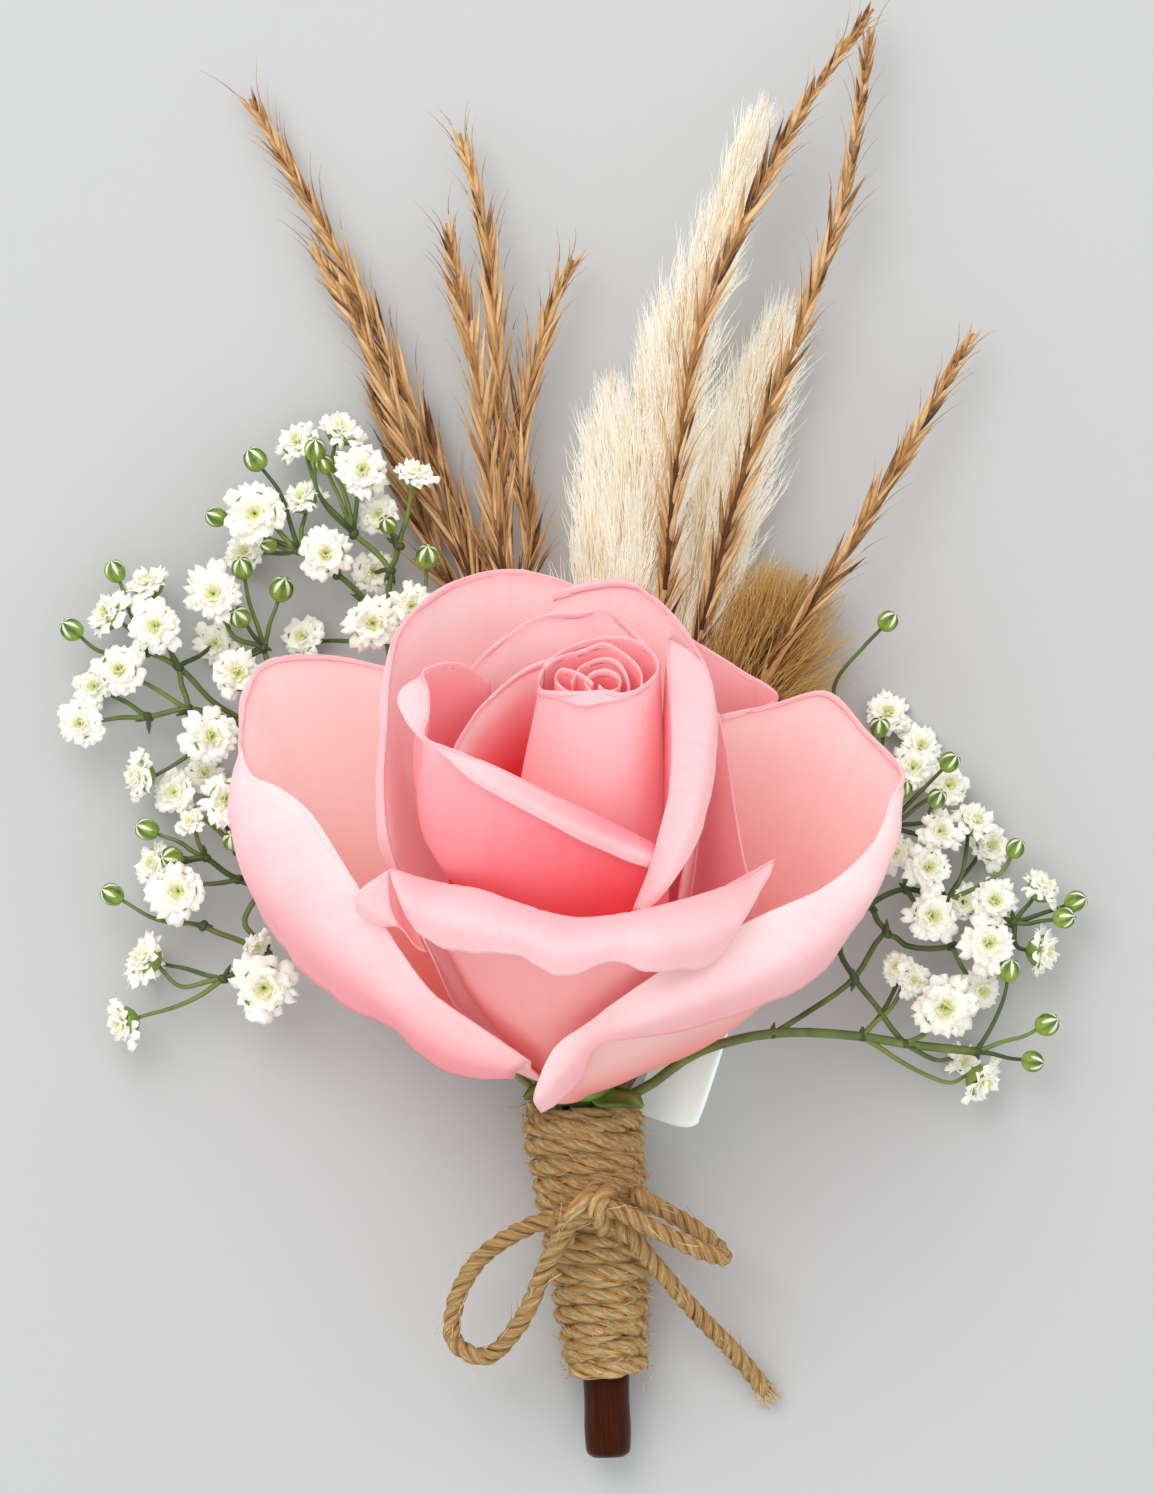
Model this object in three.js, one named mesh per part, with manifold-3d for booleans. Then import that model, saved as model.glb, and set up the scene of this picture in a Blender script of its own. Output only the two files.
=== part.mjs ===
// Rose boutonniere: one pink rose on a hip and sepals, backed by baby's breath, dry grasses and
// soft plumes, its stems wrapped in twine over a dark wooden stick, with a twine bow and a satin loop.
// Millimetres, +Z up. The boutonniere lies on its back on the table: bloom facing up, stems toward -Y.
import * as THREE from "three";
import Module from "manifold-3d";

const wasm = await Module();
wasm.setup();
const { Manifold, Mesh } = wasm;

// Driving dimensions, mm and degrees
const PETAL_THICK = 0.7;
const BLOOM_SMOOTHING = 0.27;
const FINE_SMOOTHING = 0.11;
const ROSE_BASE = [1.2, -34.5, 10.0];
const ROSE_LEAN_UP = 33.6;
const TWINE_DIA = 1.9;
const TWINE_PITCH = 1.86;
const WRAP_TOP_V = 1103;
const WRAP_END_V = 1373;
const WRAP_FLAT = 0.75;
const WRAP_GROOVE = 0.5;
const STICK_RADIUS = 2.25;
const STICK_TIP = 0.78;
const ROSE_STEM_RADIUS = 1.35;
const STEM_RADIUS = 0.4;
const BUNDLE_DEPTH_V = 1145;
const CLEARANCE = 0.3;
const BORE_GAP = 0.35;
const MOUTH_GAP = 0.6;
const RIBBON_WIDTH = 10.0;
const RIBBON_THICK = 0.6;

// Front-view drawing units are tenths of a millimetre from the upper left corner of the drawing.
const DRAW_U = 572.5;
const DRAW_V = 731.5;
const at = (u, v, z) => [(u - DRAW_U) / 10, (DRAW_V - v) / 10, z];

// Small vector tools
const add = (a, b, k = 1) => [a[0] + b[0] * k, a[1] + b[1] * k, a[2] + b[2] * k];
const sub = (a, b) => [a[0] - b[0], a[1] - b[1], a[2] - b[2]];
const dot = (a, b) => a[0] * b[0] + a[1] * b[1] + a[2] * b[2];
const cross = (a, b) => [
  a[1] * b[2] - a[2] * b[1],
  a[2] * b[0] - a[0] * b[2],
  a[0] * b[1] - a[1] * b[0],
];
const size = (a) => Math.hypot(a[0], a[1], a[2]);
const unit = (a) => {
  const s = size(a) || 1;
  return [a[0] / s, a[1] / s, a[2] / s];
};
const mix = (a, b, t) => [a[0] + (b[0] - a[0]) * t, a[1] + (b[1] - a[1]) * t, a[2] + (b[2] - a[2]) * t];
const rad = (degrees) => (degrees * Math.PI) / 180;

// Repeatable scatter
let seed = 7;
const scatter = (low, high) => {
  seed = (seed * 1664525 + 1013904223) % 4294967296;
  return low + ((high - low) * seed) / 4294967296;
};

// Solid from points and triangles
function solid(points, faces) {
  const vertProperties = new Float32Array(points.flat());
  const triVerts = new Uint32Array(faces.flat());
  return new Manifold(new Mesh({ numProp: 3, vertProperties, triVerts }));
}

// The largest body of several: scraps drop away and hollows sealed inside it are filled
function largest(body) {
  return body.decompose().sort((a, b) => b.volume() - a.volume())[0];
}

// Fuse bodies into one and take out the slivers left where they cross, in a coarse and a fine pass
function fuse(bodies, smoothing = 0.14) {
  const coarse = largest(largest(Manifold.union(bodies)).asOriginal().simplify(smoothing));
  return largest(coarse.asOriginal().simplify(FINE_SMOOTHING));
}

// Smooth curve through points: the curve passes through every one of them
function curve(points, steps) {
  const path = new THREE.CatmullRomCurve3(
    points.map((p) => new THREE.Vector3(...p)),
    false,
    "centripetal",
  );
  const out = [];
  for (let i = 0; i <= steps; i += 1) {
    out.push(path.getPoint(i / steps).toArray());
  }
  return out;
}

// Round rod along a path; radii may change from point to point
function rod(points, radii, sides, turn = 0) {
  const radiusAt = (i) => (Array.isArray(radii) ? radii[i] : radii);
  const verts = [];
  const faces = [];
  let side = null;
  points.forEach((p, i) => {
    const before = points[Math.max(i - 1, 0)];
    const after = points[Math.min(i + 1, points.length - 1)];
    const along = unit(sub(after, before));
    if (side === null) {
      side = unit(cross(along, Math.abs(along[2]) < 0.9 ? [0, 0, 1] : [1, 0, 0]));
    }
    side = unit(add(side, along, -dot(side, along)));
    const up = cross(side, along);
    for (let j = 0; j < sides; j += 1) {
      const angle = turn + (2 * Math.PI * j) / sides;
      const offset = add(
        [side[0] * Math.cos(angle), side[1] * Math.cos(angle), side[2] * Math.cos(angle)],
        up,
        Math.sin(angle),
      );
      verts.push(add(p, offset, radiusAt(i)));
    }
  });
  for (let i = 0; i + 1 < points.length; i += 1) {
    for (let j = 0; j < sides; j += 1) {
      const a = i * sides + j;
      const b = i * sides + ((j + 1) % sides);
      faces.push([a, a + sides, b], [b, a + sides, b + sides]);
    }
  }
  const last = (points.length - 1) * sides;
  for (let j = 1; j + 1 < sides; j += 1) {
    faces.push([0, j, j + 1], [last, last + j + 1, last + j]);
  }
  const body = solid(verts, faces);
  return body.volume() < 0 ? solid(verts, faces.map((f) => [f[0], f[2], f[1]])) : body;
}

// Room already taken by thin things, so that loose hairs and ears stay clear of other pieces
const laid = [];

function segmentGap(p, q, a, b) {
  const d1 = sub(q, p);
  const d2 = sub(b, a);
  const r = sub(p, a);
  const aa = dot(d1, d1) || 1e-9;
  const ee = dot(d2, d2) || 1e-9;
  const f = dot(d2, r);
  const c = dot(d1, r);
  const bb = dot(d1, d2);
  const den = aa * ee - bb * bb;
  let s = den > 1e-9 ? Math.min(Math.max((bb * f - c * ee) / den, 0), 1) : 0;
  let t = (bb * s + f) / ee;
  if (t < 0) {
    t = 0;
    s = Math.min(Math.max(-c / aa, 0), 1);
  } else if (t > 1) {
    t = 1;
    s = Math.min(Math.max((bb - c) / aa, 0), 1);
  }
  return size(sub(add(p, d1, s), add(a, d2, t)));
}

function isClear(owner, p, q, r) {
  return laid.every((o) => o.owner === owner || segmentGap(p, q, o.p, o.q) > r + o.r + CLEARANCE);
}

function lay(owner, p, q, r) {
  laid.push({ owner, p, q, r });
}

function layPath(owner, points, r) {
  for (let i = 0; i + 1 < points.length; i += 1) {
    lay(owner, points[i], points[i + 1], Array.isArray(r) ? Math.max(r[i], r[i + 1]) : r);
  }
}

// The rose: a leaning axis, azimuth 0 to the right, 90 to the front, 180 left, 270 back
const leaning = rad(ROSE_LEAN_UP);
const AXIS = unit([0.04, Math.cos(leaning), Math.sin(leaning)]);
const RIGHT = unit([1, -0.04 * Math.cos(leaning), 0]);
const FRONT = unit(cross(RIGHT, AXIS));
const rose = (azimuth, radius, height) => {
  const p = add(ROSE_BASE, AXIS, height);
  const q = add(p, RIGHT, radius * Math.cos(rad(azimuth)));
  return add(q, FRONT, radius * Math.sin(rad(azimuth)));
};

// Weights of a smooth curve through n knots at position t from 0 to 1
function knotWeights(n, t) {
  const x = Math.min(Math.max(t, 0), 1) * (n - 1);
  const k = Math.min(Math.floor(x), n - 2);
  const f = x - k;
  const w = new Array(n).fill(0);
  const put = (i, value) => {
    if (i < 0) {
      w[0] += 2 * value;
      w[1] -= value;
    } else if (i > n - 1) {
      w[n - 1] += 2 * value;
      w[n - 2] -= value;
    } else {
      w[i] += value;
    }
  };
  put(k - 1, (-f + 2 * f * f - f * f * f) / 2);
  put(k, (2 - 5 * f * f + 3 * f * f * f) / 2);
  put(k + 1, (f + 4 * f * f - 3 * f * f * f) / 2);
  put(k + 2, (-f * f + f * f * f) / 2);
  return w;
}

// Surface through a net of points: rows run base to lip, columns run across
function loft(net, across, along) {
  const grid = [];
  for (let i = 0; i <= along; i += 1) {
    const wr = knotWeights(net.length, i / along);
    const row = [];
    for (let j = 0; j <= across; j += 1) {
      const wc = knotWeights(net[0].length, j / across);
      let p = [0, 0, 0];
      net.forEach((line, a) => {
        line.forEach((q, b) => {
          p = add(p, q, wr[a] * wc[b]);
        });
      });
      row.push(p);
    }
    grid.push(row);
  }
  return grid;
}

// Blade: a surface given an even thickness, split alike on both faces
function blade(grid, thick) {
  const rows = grid.length;
  const cols = grid[0].length;
  const verts = [];
  for (const half of [-0.5, 0.5]) {
    for (let i = 0; i < rows; i += 1) {
      for (let j = 0; j < cols; j += 1) {
        const up = sub(grid[Math.min(i + 1, rows - 1)][j], grid[Math.max(i - 1, 0)][j]);
        const across = sub(grid[i][Math.min(j + 1, cols - 1)], grid[i][Math.max(j - 1, 0)]);
        verts.push(add(grid[i][j], unit(cross(across, up)), half * thick));
      }
    }
  }
  const under = 0;
  const over = rows * cols;
  const faces = [];
  for (let i = 0; i + 1 < rows; i += 1) {
    for (let j = 0; j + 1 < cols; j += 1) {
      const a = i * cols + j;
      const b = a + 1;
      const c = a + cols;
      const d = c + 1;
      faces.push([over + a, over + b, over + d], [over + a, over + d, over + c]);
      faces.push([under + a, under + d, under + b], [under + a, under + c, under + d]);
    }
  }
  const rim = [];
  for (let j = 0; j < cols; j += 1) rim.push(j);
  for (let i = 1; i < rows; i += 1) rim.push(i * cols + cols - 1);
  for (let j = cols - 2; j >= 0; j -= 1) rim.push((rows - 1) * cols + j);
  for (let i = rows - 2; i > 0; i -= 1) rim.push(i * cols);
  rim.forEach((a, k) => {
    const b = rim[(k + 1) % rim.length];
    faces.push([under + a, under + b, over + b], [under + a, over + b, over + a]);
  });
  return solid(verts, faces);
}

// Cupped petal round the rose axis. Every list runs over the azimuths of its ribs. The belly
// stands at a set share of the rim's height, and the row under it is drawn in.
const BELLY_HEIGHT = 0.42;
const UNDER_BELLY_HEIGHT = 0.45;
const UNDER_BELLY_RADIUS = 0.64;

function cupped(petal) {
  const n = petal.az.length;
  const list = (value) => (Array.isArray(value) ? value : new Array(n).fill(value));
  const middle = (petal.az[0] + petal.az[n - 1]) / 2;
  const rim = list(petal.rim);
  const high = list(petal.high);
  const belly = list(petal.belly);
  const out = list(petal.out ?? 0.6);
  const down = list(petal.down ?? 0.4);
  const baseR = petal.baseR ?? 3.0;
  const row = (radius, height, squeeze) =>
    petal.az.map((a, i) => rose(middle + (a - middle) * squeeze, radius(i), height(i)));
  return [
    row(() => baseR, () => 1.0, 0.6),
    row((i) => belly[i] * UNDER_BELLY_RADIUS, (i) => high[i] * BELLY_HEIGHT * UNDER_BELLY_HEIGHT, 0.8),
    row((i) => belly[i], (i) => high[i] * BELLY_HEIGHT, 0.95),
    row((i) => (belly[i] + rim[i]) / 2, (i) => (high[i] * (BELLY_HEIGHT + 1)) / 2, 1),
    row((i) => rim[i], (i) => high[i], 1),
    row((i) => rim[i] + out[i], (i) => high[i] - down[i], 1),
  ];
}

const CUPPED_PETALS = [
  { az: [150, 220, 290, 360, 430], rim: [1.7, 1.9, 2.1, 2.2, 2.3], high: 47, belly: 2.6, baseR: 1 },
  {
    az: [10, 75, 140, 205, 270, 330],
    rim: [3.6, 3.6, 3.7, 3.8, 4.0, 4.0],
    high: 47.6,
    belly: 4.9,
    baseR: 1.5,
  },
  {
    az: [-50, -15, 20, 60, 100, 140, 175],
    rim: [5.6, 5.7, 5.6, 5.4, 5.4, 5.7, 5.9],
    high: [48.4, 48.2, 47.8, 48, 48, 47.8, 46.5],
    belly: [7.2, 7.6, 8, 8.2, 8.2, 7.8, 7.4],
    out: [0.6, 0.8, 1.2, 1.4, 1.3, 0.9, 0.5],
    down: [0.4, 0.8, 1.4, 1.9, 1.7, 1.0, 0.3],
  },
  { az: [195, 230, 265, 300, 335, 370], rim: 6.3, high: [45.5, 47.5, 48.2, 48.3, 46.5, 43], belly: 8.6 },
  {
    az: [105, 140, 170, 190, 215, 235, 260, 285],
    rim: [10.5, 12, 13.3, 13.6, 12.6, 11, 9.3, 7.8],
    high: [27, 33, 35.7, 37.4, 39.6, 42.2, 44.2, 44.2],
    belly: [9.5, 10, 10.5, 10.5, 10, 9.5, 9, 8.5],
  },
  {
    az: [180, 205, 228, 247, 272, 290, 310, 335],
    rim: [13, 12.8, 12.3, 11.8, 11.4, 10.9, 10, 9.2],
    high: [41.5, 44.4, 46, 47.2, 47.6, 47.6, 45, 41],
    belly: 11.5,
    out: 1,
  },
  {
    az: [50, 95, 140, 175, 198, 215, 240],
    rim: [12.2, 13, 14.5, 16, 17.2, 16.5, 13.5],
    high: [31.5, 37.5, 41.5, 42.3, 42, 40, 34],
    belly: [11, 12, 13, 13.5, 14, 14, 13],
    out: [2, 2.2, 1.6, 1.2, 1, 0.6, 0.4],
    down: [1.2, 1.2, 1.2, 2.6, 1.8, 0.4, 0.2],
  },
  {
    az: [78, 54, 30, 8, -15, -35, -50],
    rim: [12.2, 11.4, 9.8, 9.3, 8.9, 9.6, 9.6],
    high: [27.5, 32, 37, 41.5, 45, 48, 45],
    belly: 9.5,
    out: [1.6, 2.6, 3.8, 4, 3.8, 1.6, 0.5],
    down: [0.5, 1, 1.6, 1.8, 1.6, 0.8, 0.2],
  },
  {
    az: [128, 150, 175, 200, 220, 240, 262, 285],
    rim: [15.2, 17.2, 18.6, 18.9, 18.9, 18.7, 17.8, 16],
    high: [22, 29, 38, 44.5, 46.8, 47.2, 45.5, 42],
    belly: [13.5, 14.5, 15.2, 15.6, 15.8, 15.8, 15.5, 14.5],
    out: 0.8,
  },
  {
    az: [242, 262, 280, 296, 312, 330, 350, 370, 392],
    rim: [15.2, 16.3, 16.7, 16.2, 15.2, 14, 13.6, 14.2, 14.6],
    high: [43, 46.2, 47, 46.6, 44.6, 41, 36.5, 30, 22],
    belly: [13.5, 13.8, 14, 14, 14, 14, 14.5, 15, 15],
    out: 0.8,
  },
];

// Outer petals that roll back are drawn rib by rib: rows base to lip, columns left to right
const ROLLED_PETALS = [
  [
    [[-4, -31.8, 10], [-2, -32.6, 12], [0.5, -33, 12.5], [3, -32.6, 12], [5, -31.8, 10]],
    [[-12.5, -26.5, 12], [-8, -30, 16.5], [0.5, -31.6, 18.5], [8.5, -30, 16.5], [13, -26.5, 12]],
    [[-16.5, -20, 16], [-11, -25.5, 24], [0.5, -28.4, 29], [12, -25, 24], [17.5, -20, 16]],
    [[-18.2, -14.8, 22], [-10.5, -18.7, 33.5], [0, -22, 38.5], [10, -20, 33.5], [19, -14.4, 22]],
    [[-18.2, -13.5, 24.5], [-9.3, -15.4, 35.5], [0, -18.2, 40.5], [8.8, -17.2, 36], [19.7, -12.7, 24.5]],
    [[-18.4, -14.4, 24], [-11.2, -19.3, 36.3], [-0.2, -21.7, 41], [10, -20.6, 36.8], [19.3, -14, 24]],
    [[-17, -16.3, 22.5], [-11.3, -21.4, 35], [0.2, -23, 39.3], [10.3, -22.3, 35], [18.2, -16.6, 22.5]],
  ],
  [
    [[-4.6, -33.4, 14], [-4.2, -32.6, 17], [-3.4, -32, 15], [-2, -31.5, 11.5], [0, -31, 11.5]],
    [[-8.8, -35.7, 17], [-7, -31.6, 24], [-8.5, -27.5, 17], [-5, -20, 12.5], [-2, -15, 10.5]],
    [[-18, -30.3, 17], [-14.3, -25.4, 26], [-15, -20, 17], [-12, -10, 12], [-6, -4, 10.5]],
    [[-27.6, -23.6, 15], [-22.6, -14.5, 26], [-21.5, -9, 17], [-17, 0, 12], [-10, 5, 10]],
    [[-31.9, -13.5, 15], [-31, -5.8, 24], [-26.5, -1.5, 17.5], [-20, 4.5, 12.5], [-15, 6.8, 10]],
    [[-32.7, -6.5, 17], [-32.8, -2.5, 21], [-30.8, 4, 18], [-26, 7.4, 14.5], [-17, 6.6, 10.5]],
  ],
  [
    [[-3, -37.4, 15], [-1, -33, 20], [1.4, -31.8, 17], [3.4, -31, 12.5], [5, -30, 11.5]],
    [[1.8, -34.2, 18], [2, -28.6, 26], [6, -25, 19], [9, -18, 12.5], [9, -12, 10.5]],
    [[11.9, -29.3, 18], [8.6, -23.8, 27.5], [13, -17.5, 18], [16, -9, 12.5], [13, -4, 10.5]],
    [[22.2, -25.2, 17], [17, -18.6, 27], [20.5, -10.5, 18], [21, -2, 13], [14.5, 3, 10.5]],
    [[28.6, -18.6, 16], [25.5, -14.3, 24], [27, -6, 18], [25, 1.5, 13.5], [17, 2.5, 10.5]],
    [[30.6, -9.5, 17], [30.2, -8, 20], [31.5, -4.8, 17.5], [29, -0.5, 15.5], [23, 3.6, 12]],
  ],
  [
    [[-1, -32, 11.5], [1.5, -31, 11], [4, -32, 11.5]],
    [[-6, -20, 9.8], [5, -19, 9.5], [14, -20, 11]],
    [[-8, -6, 9.5], [8, -4, 9], [20, -8, 11]],
    [[-5, 8, 9.5], [10, 9, 9.5], [20.5, 1, 11.5]],
    [[2, 14, 10.5], [12, 9.5, 10.5], [20, 3.4, 12]],
  ],
];

// Turned piece round the rose axis from height and radius pairs
function turned(profile, sides) {
  const verts = [];
  const faces = [];
  profile.forEach(([h, r]) => {
    for (let j = 0; j < sides; j += 1) verts.push(rose((360 * j) / sides, r, h));
  });
  const low = verts.length;
  verts.push(rose(0, 0, profile[0][0]), rose(0, 0, profile[profile.length - 1][0]));
  const top = (profile.length - 1) * sides;
  for (let j = 0; j < sides; j += 1) {
    const k = (j + 1) % sides;
    for (let i = 0; i + 1 < profile.length; i += 1) {
      const a = i * sides;
      faces.push([a + j, a + k, a + sides + k], [a + j, a + sides + k, a + sides + j]);
    }
    faces.push([low, k, j], [low + 1, top + j, top + k]);
  }
  const body = solid(verts, faces);
  return body.volume() < 0 ? solid(verts, faces.map((f) => [f[0], f[2], f[1]])) : body;
}

function buildBloom() {
  const bodies = [turned([[0.9, 3.2], [4, 5.2], [9, 6.2], [20, 4.5], [36, 3.2], [45, 1.4]], 10)];
  CUPPED_PETALS.forEach((petal) => {
    bodies.push(blade(loft(cupped(petal), petal.az.length - 1, 5), PETAL_THICK));
  });
  ROLLED_PETALS.forEach((net) => {
    bodies.push(blade(loft(net, net[0].length, net.length - 1), PETAL_THICK));
  });
  return fuse(bodies, BLOOM_SMOOTHING);
}

// Handle: the twine sleeve narrows from the bundle at its top to the stick at its end
const WRAP_LINE = [
  { v: 1099, u: 581.5, r: 6.25 },
  { v: 1168, u: 588, r: 6.0 },
  { v: 1217, u: 593, r: 5.8 },
  { v: 1268, u: 600, r: 5.35 },
  { v: 1323, u: 603, r: 4.75 },
  { v: 1373, u: 606, r: 4.4 },
];

function handle(v) {
  let k = 0;
  while (k + 2 < WRAP_LINE.length && v > WRAP_LINE[k + 1].v) k += 1;
  const a = WRAP_LINE[k];
  const b = WRAP_LINE[k + 1];
  const t = (v - a.v) / (b.v - a.v);
  const r = a.r + (b.r - a.r) * t;
  return { x: (a.u + (b.u - a.u) * t - DRAW_U) / 10, y: (DRAW_V - v) / 10, z: r - WRAP_FLAT, r };
}

// Twine sleeve: one screw-shaped ridge runs down the handle, flat underneath where it lies
function buildWrap() {
  const sides = 14;
  const halfTurn = (TWINE_PITCH * 10) / 2;
  const rows = Math.ceil((WRAP_END_V - WRAP_TOP_V) / halfTurn) + 6;
  const verts = [];
  for (let i = 0; i < rows; i += 1) {
    for (let j = 0; j < sides; j += 1) {
      const v = WRAP_TOP_V + (i - 3) * halfTurn + (2 * halfTurn * j) / sides;
      const h = handle(v);
      const radius = h.r - (i % 2 === 0 ? 0 : WRAP_GROOVE);
      const angle = (2 * Math.PI * j) / sides;
      verts.push([h.x + radius * Math.cos(angle), h.y, h.z + radius * Math.sin(angle)]);
    }
  }
  const faces = [];
  for (let i = 0; i + 1 < rows; i += 1) {
    for (let j = 0; j < sides; j += 1) {
      const seam = j === sides - 1;
      if (seam && i + 3 >= rows) continue;
      const a = i * sides + j;
      const b = seam ? (i + 2) * sides : a + 1;
      faces.push([a, b, b + sides], [a, b + sides, a + sides]);
    }
  }
  const cap = (ring, centre) => {
    verts.push(centre);
    const hub = verts.length - 1;
    ring.forEach((a, k) => faces.push([ring[(k + 1) % ring.length], a, hub]));
  };
  const span = [...Array(sides).keys()];
  const first = [...span, 2 * sides, sides];
  const end = (rows - 1) * sides;
  const last = [...span.map((j) => end + j), end - sides + sides - 1, end - 2 * sides + sides - 1];
  const start = handle(WRAP_TOP_V - 4 * halfTurn);
  const stop = handle(WRAP_TOP_V + rows * halfTurn);
  cap(first, [start.x, start.y, start.z]);
  cap(last.reverse(), [stop.x, stop.y, stop.z]);
  let body = solid(verts, faces);
  if (body.volume() < 0) body = solid(verts, faces.map((f) => [f[0], f[2], f[1]]));
  const bore = [];
  const radii = [];
  for (const v of [WRAP_TOP_V - 40, ...WRAP_LINE.slice(1, -1).map((k) => k.v), WRAP_END_V + 40]) {
    const h = handle(v);
    bore.push([h.x, h.y, h.z]);
    radii.push(h.r - TWINE_DIA);
  }
  return body
    .subtract(rod(bore, radii, 14))
    .trimByPlane([0, -1, 0], -(DRAW_V - WRAP_TOP_V) / 10)
    .trimByPlane([0, 1, 0], (DRAW_V - WRAP_END_V) / 10)
    .asOriginal()
    .simplify(0.05)
    .trimByPlane([0, 0, 1], 0)
    .asOriginal()
    .simplify(0.001);
}

// Inside the sleeve: the stick lies below, the rose stem above, thin stems stand at either side
const boreAt = (v) => handle(v).r - TWINE_DIA;

function buildStick() {
  const line = [1103, 1160, 1217, 1268, 1323, 1373, 1410, 1446, 1455];
  const points = line.map((v) => {
    const h = handle(Math.min(v, WRAP_END_V));
    const drop = Math.max(boreAt(Math.min(v, WRAP_END_V)) - BORE_GAP - STICK_RADIUS, 0);
    const over = Math.max(v - WRAP_END_V, 0);
    return [h.x + over * 0.003, (DRAW_V - v) / 10, h.z - drop];
  });
  const radii = line.map((v) => (v < 1450 ? STICK_RADIUS : STICK_RADIUS * STICK_TIP));
  return rod(points, radii, 12);
}

// Slots for thin stems: angle from the horizontal and distance from the middle of the bore
const SLOTS = {
  low: [-34, 3.6],
  side: [-15, 3.6],
  wide: [4, 3.6],
  high: [23, 3.6],
  top: [45, 3.6],
  inner: [-6, 2.5],
  core: [20, 2.5],
};

function slotPoint(hand, slot, v) {
  const h = handle(v);
  const [angle, reach] = SLOTS[slot];
  const r = reach - (boreAt(WRAP_TOP_V) - boreAt(v));
  return [h.x + hand * r * Math.cos(rad(angle)), h.y, h.z + r * Math.sin(rad(angle))];
}

// Stem from its slot in the bundle through way points, given in drawing units with heights
function stemLine(hand, slot, stops, steps) {
  const start = [slotPoint(hand, slot, BUNDLE_DEPTH_V), slotPoint(hand, slot, WRAP_TOP_V - 2)];
  return [start[0], ...curve([start[1], ...stops.map((s) => at(...s))], steps)];
}

function buildHip() {
  const stem = [1180, 1150, 1120, 1101].map((v) => {
    const h = handle(v);
    const gap = v < WRAP_TOP_V ? MOUTH_GAP : BORE_GAP;
    return [h.x + 0.1, h.y, h.z + boreAt(v) - gap - ROSE_STEM_RADIUS];
  });
  stem.push(rose(0, 0, -1.2));
  const bodies = [rod(stem, ROSE_STEM_RADIUS, 8)];
  bodies.push(turned([[-1.6, 1.4], [-0.8, 2.6], [0, 3.3], [0.55, 3.0]], 10));
  const sepals = [
    [38, 6.8, 0.1],
    [148, 6.4, 0.1],
    [200, 4.9, 0.3],
    [272, 4.6, 0.4],
    [330, 4.6, 0.3],
  ];
  sepals.forEach(([az, reach, lift]) => {
    const net = [
      [rose(az - 34, 2.6, -0.9), rose(az, 2.8, -0.5), rose(az + 34, 2.6, -0.9)],
      [rose(az - 22, 3.9, -0.6), rose(az, 4.0, -0.1), rose(az + 22, 3.9, -0.6)],
      [rose(az - 5, reach, lift), rose(az, reach + 0.1, lift), rose(az + 5, reach, lift)],
    ];
    bodies.push(blade(loft(net, 2, 4), 0.7));
  });
  layPath("hip", stem, ROSE_STEM_RADIUS);
  lay("hip", rose(0, 0, -1.5), rose(0, 0, 0.5), 3.3);
  return fuse(bodies);
}

// Dry grass: long ears lie along each stalk, left and right in turn
function ear(root, along, long, wide) {
  const side = unit(cross(along, [0, 0, 1]));
  const up = unit(cross(side, along));
  const waist = add(root, along, long * 0.42);
  const ring = [0, 120, 240].map((a) =>
    add(add(waist, side, wide * Math.cos(rad(a))), up, wide * 0.8 * Math.sin(rad(a))),
  );
  const tip = add(root, along, long);
  const body = solid([root, tip, ...ring], [
    [0, 3, 2], [0, 4, 3], [0, 2, 4],
    [1, 2, 3], [1, 3, 4], [1, 4, 2],
  ]);
  return body.volume() < 0 ? solid([root, tip, ...ring], [
    [0, 2, 3], [0, 3, 4], [0, 4, 2],
    [1, 3, 2], [1, 4, 3], [1, 2, 4],
  ]) : body;
}

function grassEars(owner, line, bodies, spec) {
  let run = 0;
  let next = spec.from;
  let hand = 1;
  for (let i = 0; i + 1 < line.length; i += 1) {
    const along = unit(sub(line[i + 1], line[i]));
    const step = size(sub(line[i + 1], line[i]));
    while (next < run + step) {
      const root = add(line[i], along, next - run);
      const side = unit(cross(along, [0, 0, 1]));
      const spread = spec.spread + scatter(-0.04, 0.06);
      const lean = unit(add(add(along, side, hand * spread), [0, 0, 1], scatter(-0.05, 0.1)));
      const long = spec.long * scatter(0.85, 1.1);
      const tip = add(root, lean, long);
      if (tip[2] > 0.3 && isClear(owner, root, tip, spec.wide)) {
        bodies.push(ear(add(root, lean, -0.4), lean, long, spec.wide));
        lay(owner, root, tip, spec.wide);
      }
      hand = -hand;
      next += spec.every * scatter(0.85, 1.15);
    }
    run += step;
  }
}

// Every long stalk is laid out first, so that hairs and ears keep clear of all of them
function grassLines(plan) {
  const main = stemLine(plan.hand, plan.slot, plan.trunk, 7);
  layPath(plan.name, main, STEM_RADIUS);
  const fork = plan.trunk[plan.trunk.length - 1];
  const branches = plan.branches.map((stops) => {
    const line = curve([fork, ...stops].map((s) => at(...s)), 8);
    layPath(plan.name, line, 0.36);
    return line;
  });
  return { main, branches };
}

function buildGrass(plan, lines) {
  const bodies = [rod(lines.main, STEM_RADIUS, 4)];
  lines.branches.forEach((line) => {
    bodies.push(rod(line, line.map((p, i) => (i > 6 ? 0.24 : 0.36)), 3));
    grassEars(plan.name, line, bodies, plan.ears);
  });
  return fuse(bodies);
}

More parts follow.
